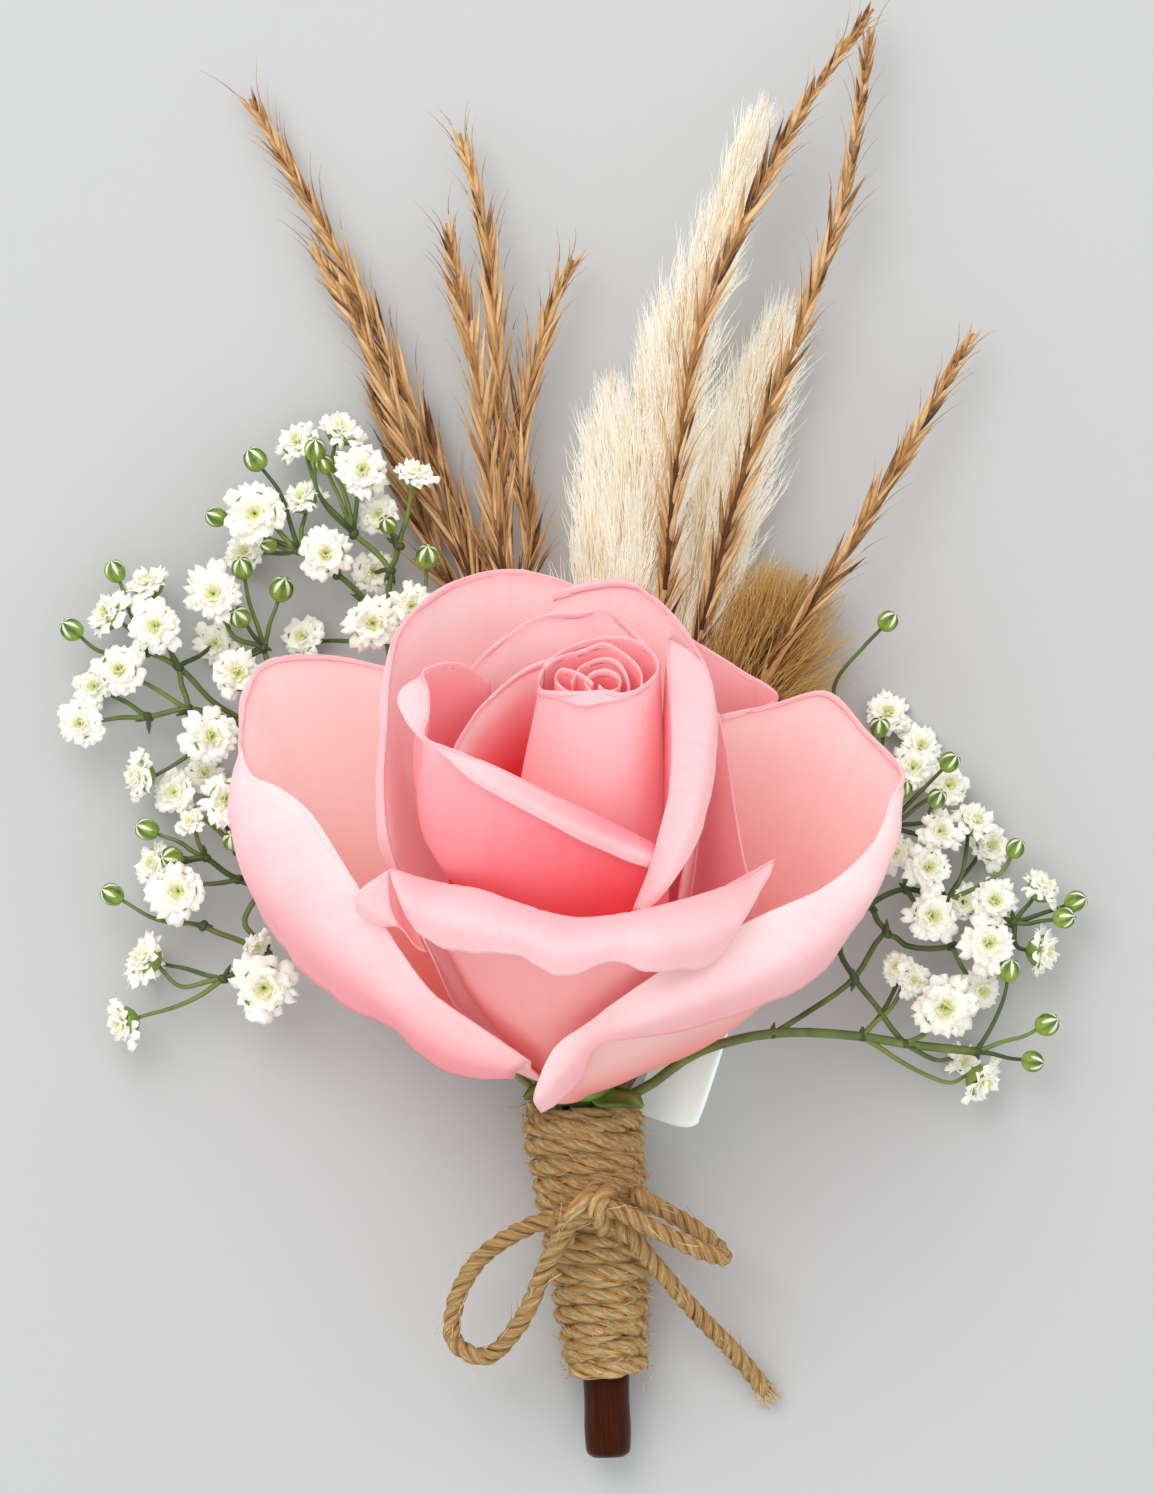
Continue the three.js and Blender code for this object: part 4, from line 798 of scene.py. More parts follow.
@dataclass
class Handle:
    """The line that the wrap, the stick and the bundled stems share. Each of its knots is a drawing
    height v, the middle's u and the sleeve's outer radius."""

    twine: float = 1.9
    pitch: float = 1.86
    top_v: float = 1103.0
    end_v: float = 1373.0
    bundle_v: float = 1145.0
    flat: float = 0.75
    line: Array = field(default_factory=lambda: np.array([
        [1099, 581.5, 6.25], [1168, 588, 6.0], [1217, 593, 5.8],
        [1268, 600, 5.35], [1323, 603, 4.75], [1373, 606, 4.4],
    ]))

    def radius(self, v: Array) -> Array:
        """Outer radius of the sleeve at v."""
        return np.interp(v, self.line[:, 0], self.line[:, 2])

    def bore(self, v: Array) -> Array:
        """Radius of the room inside the sleeve at v."""
        return self.radius(v) - self.twine

    def centre(self, v: Array) -> Array:
        """Middle of the sleeve at v: its underside lies flat on the table."""
        v = np.asarray(v, float)
        u = np.interp(v, self.line[:, 0], self.line[:, 1])
        return drawn(stacked(u, v, self.radius(v) - self.flat))

    def slot(self, hand: Hand, slot: Slot, v: float) -> Array:
        """Where a thin stem stands in the bore at v."""
        angle, reach = slot.value
        r = reach - (self.bore(self.top_v) - self.bore(v))
        a = math.radians(angle)
        return self.centre(v) + np.array([hand.value * r * math.cos(a), 0, r * math.sin(a)])

    def stem(self, hand: Hand, slot: Slot, stops: Sequence, steps: int) -> Array:
        """A stem from its slot out through its stops."""
        mouth = self.slot(hand, slot, self.top_v - 2)
        return np.vstack([self.slot(hand, slot, self.bundle_v),
                          spline(np.vstack([mouth, drawn(stops)]), steps)])


@dataclass
class Twine:
    """Three-ply twine. A ring's radius is R (floor + (1 - floor) |cos 1.5 (a - twist)|^0.8)."""

    diameter: float = 1.9
    plies: int = 3
    lay: float = 5.6
    floor: float = 0.68
    step: float = 0.36
    sides: int = 15

    def phase(self, angle: Array, mm: Array) -> Array:
        """Angle round the cord with the twist taken out."""
        return angle + 2 * np.pi * mm / self.lay

    def section(self, angle: Array, mm: Array) -> Array:
        """Share of the radius: lobes of the plies with sharp grooves between them."""
        lobe = np.abs(np.cos(self.plies / 2 * self.phase(angle, mm)))
        return self.floor + (1 - self.floor) * lobe ** 0.8

    def strand(self, path: Array, reference: Sequence = UP, size: float = 1.0) -> Surface:
        """Twine laid along a path.

        Args:
            path: points of its middle line.
            reference: a direction that it never runs along.
            size: share of the full diameter.
        Returns:
            The closed surface, with crown 1 on a ply and 0 in a groove.
        """
        path = evened(path, int(lengths(path)[-1] / self.step) + 2)
        made = tubes(path, self.diameter / 2 * size, self.sides, reference, self.section)
        angle = np.concatenate([np.tile(circle(self.sides), len(path)), [0, 0]])
        phase = self.phase(angle, made.values["mm"])
        crown = np.abs(np.cos(self.plies / 2 * phase))
        turn = np.mod(phase, 2 * np.pi / self.plies)
        return made.with_values(crown=crown, turn=turn)


@dataclass
class TwineWrap:
    """The sleeve: one strand wound from the bundle down to the stick, a thinner one under it, and
    a few that cross it. A crossing's stop is a drawing height v and an angle round the sleeve."""

    handle: Handle
    twine: Twine
    crossings: tuple = (
        ((1112, 15), (1121, 70), (1136, 130), (1150, 175)),
        ((1150, 5), (1140, 50), (1128, 100), (1117, 160)),
        ((1262, 8), (1272, 55), (1283, 110), (1296, 165)),
        ((1300, 15), (1322, 60), (1338, 105), (1346, 170)),
        ((1352, 5), (1340, 50), (1348, 110), (1362, 165)),
        ((1180, 20), (1187, 75), (1196, 120), (1190, 165)),
    )
    knot: tuple = (
        ((566, 1236, 10.2), (566, 1222, 12.8), (573, 1208, 15.6), (584, 1196, 16.0),
         (592, 1189, 14.0), (594, 1184, 11.2)),
        ((604, 1226, 11.4), (600, 1214, 14.6), (596, 1202, 16.4), (602, 1192, 15.4), (612, 1186, 11.6)),
    )
    under_size: float = 0.78
    crossing_size: float = 0.82
    knot_size: float = 0.95
    seed: int = 11
    fibre_seed: int = 12
    fibre_count: int = 330

    def wound(self, v: Array, degrees: Array, rise: Array) -> Array:
        """Point on the sleeve at v and an angle round it, 0 right and 90 up, kept off the table."""
        a = np.radians(degrees)
        r = self.handle.radius(v) - self.twine.diameter / 2 + rise
        arm = stacked(r * np.cos(a), 0, r * np.sin(a))
        return off_table(self.handle.centre(v) + arm, self.twine.diameter / 2)

    def winding(self, rng: np.random.Generator, start: float = 200.0, rise: float = 0.0) -> Array:
        """Screw line from a start angle, with a tilt and a rise that wander from turn to turn."""
        pitch, half = self.handle.pitch * STEPS_A_MM, self.twine.diameter * STEPS_A_MM / 2
        top, end = self.handle.top_v + half * 0.7, self.handle.end_v - half * 0.6
        turns = (end - top) / pitch
        t = np.linspace(0, turns, int(turns * 110))
        marks = np.arange(int(turns) + 3)
        tilt = np.interp(t, marks, rng.uniform(-4.2, 4.2, len(marks)))
        lift = np.interp(t * 2, np.arange(2 * len(marks)), rng.uniform(-0.28, 0.22, 2 * len(marks)))
        v = np.clip(top + t * pitch + tilt * np.sin(2 * np.pi * t), top, end)
        return self.wound(v, 360 * t + start, lift + rise)

    def crossed(self, crossing: tuple) -> Array:
        """A crossing strand's path: it bulges out between its ends, which tuck under."""
        v, degrees = np.array(crossing, float).T
        t = np.linspace(0, 1, 60)
        knots = np.linspace(0, 1, len(v))
        rise = 0.55 * np.sin(np.pi * t) ** 0.6 - 0.35
        return self.wound(np.interp(t, knots, v), np.interp(t, knots, degrees), rise)

    def build(self) -> Surface:
        """All strands of the sleeve."""
        rng = np.random.default_rng(self.seed)
        handle_side, knot_side = (0, 1, 0), (1, 0, 0.2)
        strand = self.twine.strand
        parts = [strand(self.winding(rng), handle_side),
                 strand(self.winding(rng, 20, -0.5), handle_side, self.under_size)]
        parts += [strand(self.crossed(c), handle_side, self.crossing_size) for c in self.crossings]
        parts += [strand(spline(drawn(k), 50), knot_side, self.knot_size) for k in self.knot]
        return joined(parts)

    def fibres(self) -> Surface:
        """Loose fibres that lie on the sleeve: path = foot + length (t lay + 0.35 t² bend)."""
        rng, count = np.random.default_rng(self.fibre_seed), self.fibre_count
        v = rng.uniform(self.handle.top_v - 2, self.handle.end_v + 6, count)
        a = rng.uniform(-25, 205, count)
        foot = self.wound(v, a, np.full(count, 0.75))
        out = unit(foot - self.handle.centre(v))
        t = shares(6)
        round_it = np.cross(out, [0.0, 1.0, 0.0]) * rng.choice([-1.0, 1.0], (count, 1))
        lay = unit(round_it + rng.normal(size=(count, 3)) * [0.3, 0.45, 0.3])
        long = rng.uniform(0.7, 2.8, (count, 1, 1))
        bend = unit(rng.normal(size=(count, 3)))[:, None]
        path = (foot[:, None] + long * t * (lay[:, None] * 0.9 + out[:, None] * 0.06)
                + bend * long * 0.35 * t * t)
        return tubes(off_table(path, 0.08), 0.05 * (1 - 0.5 * t[..., 0]), 3, (0.3, 0.5, 0.8),
                     own=rng.uniform(0, 1, count))


@dataclass
class Bow:
    """The bow: a free cord from its frayed right end through the knot, the loop and the bight."""

    twine: Twine
    route: tuple = (
        (765, 1390, 1.4), (735, 1352, 3.2), (700, 1315, 6.2), (655, 1262, 10.6), (625, 1227, 12.5),
        (592, 1208, 12.5), (560, 1212, 12.8), (525, 1224, 12.6), (480, 1255, 11.5), (456, 1300, 10.2),
        (456, 1338, 9.6), (486, 1352, 9.8), (520, 1318, 11.4), (548, 1258, 13.6), (572, 1216, 15),
        (606, 1203, 15.1), (650, 1222, 14.6), (695, 1244, 13.6), (722, 1252, 11.2), (706, 1234, 9),
        (662, 1206, 9.6), (632, 1190, 11.4),
    )
    tip_fibres: int = 110
    stray_fibres: int = 90
    fibre_seed: int = 5

    def path(self) -> Array:
        """The middle line, drawing millimetres."""
        return spline(drawn(self.route), 400)

    def end_fibres(self) -> Surface:
        """The frayed tip: fibres fan out from the cord's end, and a few stand along it."""
        rng = np.random.default_rng(self.fibre_seed)
        path = evened(self.path(), 300)
        count, loose = self.tip_fibres, self.stray_fibres
        heading = unit(path[0] - path[4])
        across = unit(np.cross(heading, UP))
        spread = rng.normal(size=(count, 2)) * 0.33
        fan = unit(heading + spread[:, :1] * across + spread[:, 1:] * UP * 0.6)
        root = path[2] + rng.normal(size=(count, 3)) * 0.34 + UP * 0.15
        t = shares(6)
        long = rng.uniform(0.9, 2.6, (count, 1, 1))
        tip = root[:, None] + fan[:, None] * long * t
        i = rng.integers(8, 290, loose)
        along = unit(path[i + 1] - path[i - 1])
        out = unit(np.cross(along, rng.normal(size=(loose, 3))))
        curl = unit(rng.normal(size=(loose, 3)))
        stray = (path[i][:, None] + out[:, None] * (0.8 + 0.7 * t)
                 + along[:, None] * t * rng.uniform(0.8, 2.4, (loose, 1, 1)) + curl[:, None] * 0.7 * t * t)
        both = off_table(np.concatenate([tip, stray]), 0.08)
        return tubes(both, 0.075 * (1 - 0.4 * t[..., 0]), 3, (0.2, 0.3, 0.93),
                     own=rng.uniform(0, 1, count + loose))

    def build(self, look: bpy.types.Material, hair: bpy.types.Material) -> None:
        path = self.path()
        cord = piece(self.twine.strand(path), "twine_bow_cord", look, "twine_bow")
        fibres = piece(self.end_fibres(), "twine_bow_fibres", hair, "twine_bow", replaces=False)
        line = metres(evened(path, 160))
        tuple(float(x) for x in line[-1])
        float(lengths(line)[-1])


@dataclass
class Stick:
    """The wooden stick inside the sleeve: a rod with a rounded end and slight swells."""

    handle: Handle
    radius: float = 2.25
    top_v: float = 1103.0
    end_v: float = 1455.0
    rings: int = 90
    sides: int = 40

    def build(self) -> Surface:
        """Rod along the bottom of the bore; the radius swells by two small waves."""
        v = np.linspace(self.top_v, self.end_v, self.rings)
        inside = np.minimum(v, self.handle.end_v)
        middle = self.handle.centre(inside)
        middle[:, 0] += np.maximum(v - self.handle.end_v, 0) * 0.003
        middle[:, 1] = (DRAW_V - v) / STEPS_A_MM
        middle[:, 2] -= np.maximum(self.handle.bore(inside) - 0.35 - self.radius, 0)
        swell = 1 + 0.02 * np.sin(v / 9) - 0.02 * np.sin(v / 23)
        near = np.clip((self.end_v - v) / 9, 0, 1)
        r = self.radius * swell * (0.70 + 0.30 * np.sqrt(1 - (1 - near) ** 2))
        around = np.tile(np.abs(np.linspace(-1, 1, self.sides, endpoint=False)), self.rings)
        return tubes(middle, r, self.sides).with_values(around=np.concatenate([around, [0.5, 0.5]]))


# The rose

@dataclass
class RoseFrame:
    """The rose's leaning axis: azimuth 0 right, 90 toward the viewer, 180 left, 270 back."""

    base: Array = field(default_factory=lambda: np.array([1.2, -34.5, 10.0]))
    lean_up: float = 33.6
    lean_right: float = 0.04

    def __post_init__(self) -> None:
        """Works out the three directions."""
        lean = math.radians(self.lean_up)
        self.axis = unit(np.array([self.lean_right, math.cos(lean), math.sin(lean)]))
        self.right = unit(np.array([1.0, -self.lean_right * math.cos(lean), 0.0]))
        self.front = unit(np.cross(self.right, self.axis))

    def point(self, azimuth: Array, radius: Array, height: Array) -> Array:
        """base + axis h + right r cos a + front r sin a."""
        a, r, h = np.broadcast_arrays(np.radians(azimuth), radius, height)
        return (self.base + h[..., None] * self.axis + (r * np.cos(a))[..., None] * self.right
                + (r * np.sin(a))[..., None] * self.front)

    def seen(self, knots: Sequence) -> tuple:
        """Azimuths in degrees without jumps, radii and heights of drawn knots (u, v, s): the point
        base + h axis + p right + s front has to show at u and v, two equations for p and h."""
        k = np.asarray(knots, float)
        s = k[:, 2]
        shown = drawn(k)[:, :2] - self.base[:2] - k[:, 2:] * self.front[:2]
        p, h = np.linalg.solve(np.stack([self.right[:2], self.axis[:2]], axis=1), shown.T)
        return np.degrees(np.unwrap(np.arctan2(s, p))), np.hypot(p, s), h

    def shown(self, knots: Sequence) -> Array:
        """Points of drawn knots."""
        return self.point(*self.seen(knots))


@dataclass
class Petal:
    """A petal traced by its fold and its lip in the front view.

    A knot is (u, v, s): u and v on the drawing, s the millimetres toward the viewer from the
    plane of the rose's leaning axis. Tints run from 0, deep coral, to 1, pale: low at the base,
    mid under the fold, high past it and edge at the lip. A fade deepens the body and the lip
    toward the first knot, a painted shade deepens the foot, and a peach painted shade gathers
    toward the base.
    """

    name: str
    rim: tuple
    lip: tuple
    belly: object = 0.9
    shoulder: object = 1.0
    most: tuple = (12.0, 15.8)
    base_r: float = 3.0
    low: float = 0.2
    mid: float = 0.5
    high: float = 0.7
    edge: float = 0.85
    # Peach painted shade toward the base.
    warm: float = 0.0
    fade: tuple = (0.0, 0.0)
    fade_to: float = 0.5
    # Painted shade that deepens the foot.
    foot_shade: float = 0.0
    foot: float = 0.0
    ruffle: float = 0.25
    seed: int = 1
    # Even tint of a narrow lip: a painted shade that tones down the light its thin roll catches.
    thin_tint: float = 0.66
    frame: RoseFrame = field(default_factory=RoseFrame)

    def rows(self) -> Array:
        """Knots from the base to the lip. Belly and shoulder are shares of the rim's radius up to
        a most; the row under the fold stands a little inside and below it, the one over it bulges
        outwards. A lip drawn narrower than a millimetre shrinks to a plain edge, and the rows
        start the foot's share of the way up."""
        rose = self.frame
        azimuth, r, h = rose.seen(self.rim)
        rim, lip = rose.point(azimuth, r, h), rose.shown(self.lip)
        middle = (azimuth[0] + azimuth[-1]) / 2
        wide = np.linalg.norm(lip - rim, axis=1)
        lip = rim + (lip - rim) * smooth(0.5, 1.8, wide)[:, None]
        wide = np.linalg.norm(lip - rim, axis=1)
        belly, shoulder = (np.minimum(r * share, most)
                           for share, most in zip((self.belly, self.shoulder), self.most))
        drop = np.minimum(wide, 1.2)
        # Each row of the body: its radius, its height and its share of the rim's spread.
        body = [(self.base_r, 1.0, 0.6), (belly * 0.64, h * 0.19, 0.8), (belly, h * 0.42, 0.95),
                (shoulder, h * 0.71, 1.0), (r - 0.25 * drop, h - 0.5 - 0.5 * drop, 1.0)]
        part = 1 - self.foot
        rows = [rose.point(middle + (azimuth - middle) * (1 + (k - 1) * part), r + (a - r) * part,
                           h + (b - h) * part) for a, b, k in body]
        away = unit(rose.point(azimuth, r + 1, h) - rim)
        bulge = wide * smooth(0.4, 2.4, wide)
        over = (rim + lip) / 2 + (away * 0.30 + rose.axis * 0.14) * bulge[:, None]
        return np.stack([*rows, rim, over, lip])

    def lip_width(self, across: int) -> Array:
        """Drawn width of the lip in millimetres at points across."""
        wide = np.linalg.norm(self.frame.shown(self.lip) - self.frame.shown(self.rim), axis=1)
        return np.interp(np.linspace(0, 1, across), np.linspace(0, 1, len(wide)), wide)

    def tints(self, u: Array, v: Array) -> Array:
        """Tint at shares u across and v along, with painted shade on the foot and a painted highlight on the
        side edges; a narrow lip takes one even tint, a painted shade that tones down the light its thin roll
        catches.
        """
        tint = np.interp(v, [0, 0.35, 0.7, 0.84, 1], [self.low, self.low, self.mid, self.high, self.edge])
        # A narrow lip takes one even tint, a painted shade over the light that its roll catches.
        thin = smooth(2.6, 1.0, self.lip_width(u.size))[None, :] * smooth(0.54, 0.61, v)
        tint = np.minimum(tint, 1.0)
        tint = tint + (self.thin_tint - tint) * thin
        body, lip = self.fade
        tint = tint - smooth(self.fade_to, 0.0, u) * (body + (lip - body) * smooth(0.78, 0.9, v))
        # Share of a painted highlight that lightens the two side edges.
        side = smooth(0.10, 0.0, np.minimum(u, 1 - u)) * smooth(0.3, 0.9, v)
        # Painted shade darkens the foot.
        return tint - self.foot_shade * smooth(0.36, 0.1, v) + 0.08 * side

    def build(self, across: int, along: int) -> Surface:
        """The petal's surface: the lofted rows, moved along its normal by slow folds and a ruffle
        that grows with the cube of the distance from the base.

        Args:
            across: points across.
            along: points along.
        Returns:
            An open sheet with tint, dry values and the value of its peach painted shade.
        """
        rng = np.random.default_rng(self.seed)
        grid = loft(self.rows(), across, along)
        v = np.linspace(0, 1, along)[:, None]
        u = np.linspace(0, 1, across)[None, :]
        normal = unit(np.cross(np.gradient(grid, axis=1), np.gradient(grid, axis=0)))
        a, b, c, d = rng.uniform(0, 2 * np.pi, 4)
        wide = np.linalg.norm(np.diff(grid[-1], axis=0), axis=1).sum()
        wave = (np.sin(wide * 0.42 * u + a + 1.5 * v) * 0.6 + np.sin(wide * 0.9 * u + b) * 0.35
                + np.sin(wide * 2.1 * u + c + 4 * v) * 0.14)
        fold = np.sin(5.5 * u + 3 * v + d) * 0.25 * np.sin(np.pi * v)
        wander = np.sin(wide * 0.75 * u + b) * 0.6 + np.sin(wide * 1.7 * u + d) * 0.4
        grid = grid + normal * (self.ruffle * wave * v ** 3 + fold * self.ruffle)[..., None]
        grid = grid + self.frame.axis * (self.ruffle * 0.7 * wander * smooth(0.86, 1.0, v))[..., None]
        # The peach value is a painted shade that fades out toward the lip.
        return sheet(grid, tint=self.tints(u, v), warm=self.warm * smooth(0.88, 0.2, v),
                     dry=self.dryness(grid))

    @staticmethod
    def dryness(grid: Array) -> Array:
        """Brown tips: 1 at a few spots, falling off over a millimetre or two."""
        spots = drawn([[266, 662, 0], [245, 778, 0], [900, 768, 0], [300, 652, 0], [604, 606, 0]])[:, :2]
        reach = np.array([1.3, 0.9, 1.5, 0.6, 0.5])
        away = np.linalg.norm(grid[..., None, :2] - spots, axis=-1) / reach
        return np.exp(-(away ** 2)).max(axis=-1) * smooth(0.9, 1.0, np.linspace(0, 1, len(grid)))[:, None]


BUD_PETALS = (
    Petal("heart", base_r=1.0, belly=1.0, low=0.0, mid=0.25, high=0.5, edge=0.66, ruffle=0.1, seed=2,
          rim=((590, 697, 1.6), (585, 688, 0.4), (592, 680, -1.2), (606, 677, -1.6), (618, 684, -0.6),
               (617, 694, 1.4), (606, 698, 2.2), (598, 692, 1.2)),
          lip=((588, 698, 1.7), (583, 688, 0.4), (591, 678, -1.4), (607, 674, -1.8), (621, 683, -0.6),
               (620, 695, 1.5), (606, 700, 2.4), (599, 693, 1.3))),
    Petal("curl_left", base_r=1.2, belly=1.1, low=0.15, mid=0.5, high=0.62, edge=0.66, ruffle=0.1, seed=3,
          rim=((584, 703, 4.2), (566, 697, 2.8), (556, 686, 0.6), (562, 676, -0.8), (580, 681, -0.4),
               (592, 690, 0.8)),
          lip=((586, 706, 4.5), (563, 700, 3.0), (552, 686, 0.6), (560, 672, -1.0), (582, 677, -0.6),
               (595, 687, 0.8))),
    Petal("arc_inner", base_r=1.2, belly=1.1, low=0.15, mid=0.5, high=0.62, edge=0.66, ruffle=0.1, seed=4,
          rim=((572, 688, 0.8), (580, 674, -1.6), (600, 666, -3.0), (615, 668, -2.8), (625, 682, -0.6),
               (627, 697, 2.6), (618, 702, 4.4)),
          lip=((569, 688, 0.8), (577, 671, -1.8), (600, 662, -3.3), (618, 665, -3.0), (629, 681, -0.6),
               (631, 698, 2.8), (621, 705, 4.8))),
    Petal("arc_right", base_r=1.3, belly=1.15, low=0.25, mid=0.56, high=0.64, edge=0.68, ruffle=0.12, seed=5,
          rim=((546, 673, -1.0), (560, 664, -2.6), (582, 658, -3.8), (603, 651, -4.4), (622, 660, -3.6),
               (638, 676, -1.0), (640, 692, 2.4)),
          lip=((542, 671, -1.1), (557, 661, -2.9), (581, 654, -4.2), (604, 646, -4.8), (626, 656, -3.9),
               (643, 675, -1.0), (645, 693, 2.7))),
    Petal("arc_back", base_r=1.4, belly=1.2, low=0.3, mid=0.62, high=0.68, edge=0.7, ruffle=0.12, seed=6,
          rim=((540, 684, 1.0), (549, 668, -2.4), (575, 652, -4.8), (606, 645, -5.6), (634, 648, -5.2),
               (652, 662, -3.2), (657, 682, 0.6)),
          lip=((536, 684, 1.0), (545, 665, -2.6), (573, 648, -5.2), (607, 640, -6.0), (637, 644, -5.6),
               (657, 661, -3.4), (662, 683, 0.6))),
    Petal("bud_front", belly=(1.25, 1.36, 1.4, 1.42, 1.42, 1.4, 1.4, 1.4, 1.35),
          shoulder=(1.18, 1.26, 1.27, 1.25, 1.22, 1.2, 1.22, 1.22, 1.2),
          low=0.62, mid=0.74, high=0.66, edge=0.54, ruffle=0.10, seed=7,
          rim=((543, 683, -1.0), (540, 696, 1.8), (559, 699, 4.2), (583, 698, 5.4), (604, 697, 5.7),
               (622, 701, 5.5), (640, 694, 4.3), (655, 679, 1.6), (657, 668, -1.0)),
          lip=((540, 682, -1.2), (537, 703, 2.3), (559, 707, 4.8), (580, 711, 6.1), (600, 709, 6.3),
               (621, 706, 6.1), (643, 699, 4.9), (660, 680, 1.8), (661, 668, -1.0))),
)
CUP_PETALS = (
    # The foot of this petal runs below deep coral: a painted deep shadow in the gap between the bud and the
    # petal.
    Petal("wrap_left", belly=0.95, shoulder=0.96, low=-1.0, mid=2.2, high=1.0, edge=0.8, ruffle=0.18, seed=8,
          rim=((452, 802, 5.5), (453, 780, 4.6), (456, 757, 3.6), (467, 735, 1.8), (486, 709, -1.0),
               (525, 676, -4.6), (560, 664, -6.2), (600, 656, -7.2)),
          lip=((447, 802, 5.6), (447, 779, 4.7), (449, 754, 3.6), (460, 731, 1.7), (480, 704, -1.3),
               (520, 669, -5.1), (558, 657, -6.8), (602, 650, -7.8))),
    Petal("wrap_top", belly=0.97, shoulder=0.98, low=0.4, mid=1.2, high=1.0, edge=0.8, ruffle=0.18, seed=9,
          rim=((458, 722, -4.2), (462, 701, -4.4), (469, 682, -4.8), (482, 665, -5.8), (505, 645, -7.6),
               (540, 624, -9.4), (583, 620, -10.2), (605, 616, -10.4), (622, 629, -9.8),
               (646, 653, -8.4)),
          lip=((453, 722, -4.4), (457, 699, -4.6), (464, 678, -5.1), (478, 660, -6.2), (500, 638, -8.2),
               (537, 617, -10.1), (582, 614, -10.9), (604, 607, -11.2), (626, 622, -10.5),
               (651, 648, -9.0))),
    Petal("diagonal", belly=0.92, shoulder=0.99, low=0.21, mid=0.72, high=0.74, edge=0.74,
          most=(9.0, 18.2), fade=(0.42, 0.0),
          fade_to=0.32, ruffle=0.14, seed=10,
          rim=((658, 846, 11.2), (610, 822, 11.9), (560, 799, 12.2), (500, 770, 11.9), (455, 752, 10.8),
               (430, 741, 9.5), (431, 716, 6.8), (430, 694, 4.2), (427, 679, 2.2), (440, 672, 0.4),
               (455, 670, -1.4), (472, 674, -3.4), (492, 689, -5.2)),
          lip=((652, 866, 11.6), (604, 848, 12.5), (545, 819, 12.9), (488, 787, 12.5), (445, 759, 11.2),
               (423, 744, 9.8), (411, 722, 7.4), (404, 698, 4.8), (421, 674, 2.3), (440, 667, 0.4),
               (456, 665, -1.6), (474, 669, -3.7), (494, 684, -5.5))),
    Petal("right_fold", belly=1.0, shoulder=0.98, low=0.25, mid=0.62, high=0.68, edge=0.7,
          ruffle=0.16, seed=11,
          rim=((632, 905, 13.4), (648, 868, 13.0), (661, 826, 12.0), (669, 790, 10.2), (672, 750, 7.6),
               (671, 700, 3.6), (668, 660, 0.2), (667, 642, -2.0), (680, 650, -4.5), (692, 668, -6.5)),
          lip=((642, 912, 14.4), (668, 880, 14.2), (693, 838, 11.8), (706, 800, 9.4), (711, 760, 6.6),
               (712, 722, 3.0), (704, 685, 0.2), (669, 638, -2.2), (684, 648, -4.9), (697, 667, -7.0))),
    Petal("left_cup", belly=0.84, shoulder=(0.86, 0.86, 0.86, 0.87, 0.88, 0.9, 0.92, *[0.93] * 5),
          low=0.7, mid=1.0, high=0.72, edge=0.58, warm=0.05, most=(13.2, 19.4), ruffle=0.42, seed=12,
          rim=((414, 905, 5.2), (402, 872, 3.9), (391, 830, 3.9), (388, 780, 2.7), (390, 725, 0.0),
               (398, 654, -5.9), (418, 618, -9.1), (456, 591, -13.2), (500, 578, -16.3), (545, 582, -18.0),
               (588, 599, -18.3), (618, 624, -17.5)),
          lip=((404, 908, 5.2), (392, 878, 3.8), (380, 834, 3.6), (377, 782, 2.4), (380, 726, -0.6),
               (390, 646, -6.5), (412, 610, -9.6), (454, 584, -13.8), (499, 570, -17.2), (547, 574, -18.9),
               (591, 592, -19.2), (622, 620, -18.2))),
    Petal("right_cup", belly=0.86, shoulder=0.95, low=0.65, mid=1.0, high=0.86, edge=0.74, warm=0.03,
          ruffle=0.34, seed=13,
          rim=((528, 622, -18.6), (550, 605, -18.0), (575, 595, -17.6), (620, 588, -16.8), (645, 599, -15.6),
               (672, 624, -13.2), (697, 660, -9.8), (708, 695, -7.2), (706, 735, -5.2),
               (699, 785, -3.0), (690, 830, 0.0), (678, 885, 4.0)),
          lip=((525, 617, -19.0), (548, 600, -18.5), (574, 589, -18.2), (622, 580, -17.6),
               (650, 592, -16.4), (680, 618, -13.9), (706, 656, -10.3), (717, 693, -7.6),
               (712, 737, -5.4), (704, 789, -3.2), (695, 834, 0.1), (683, 889, 4.2))),
    Petal("strip_right", belly=0.84, shoulder=0.92, low=0.5, mid=0.8, high=0.72, edge=0.66,
          ruffle=0.15, seed=18,
          rim=((752, 900, 4.5), (741, 865, 2.0), (734, 830, -0.5), (728, 790, -3.5), (722, 750, -6.5),
               (715, 717, -9.0)),
          lip=((755, 902, 4.7), (745, 866, 2.1), (738, 830, -0.5), (732, 790, -3.7), (725, 749, -6.8),
               (717, 713, -9.4))),
)
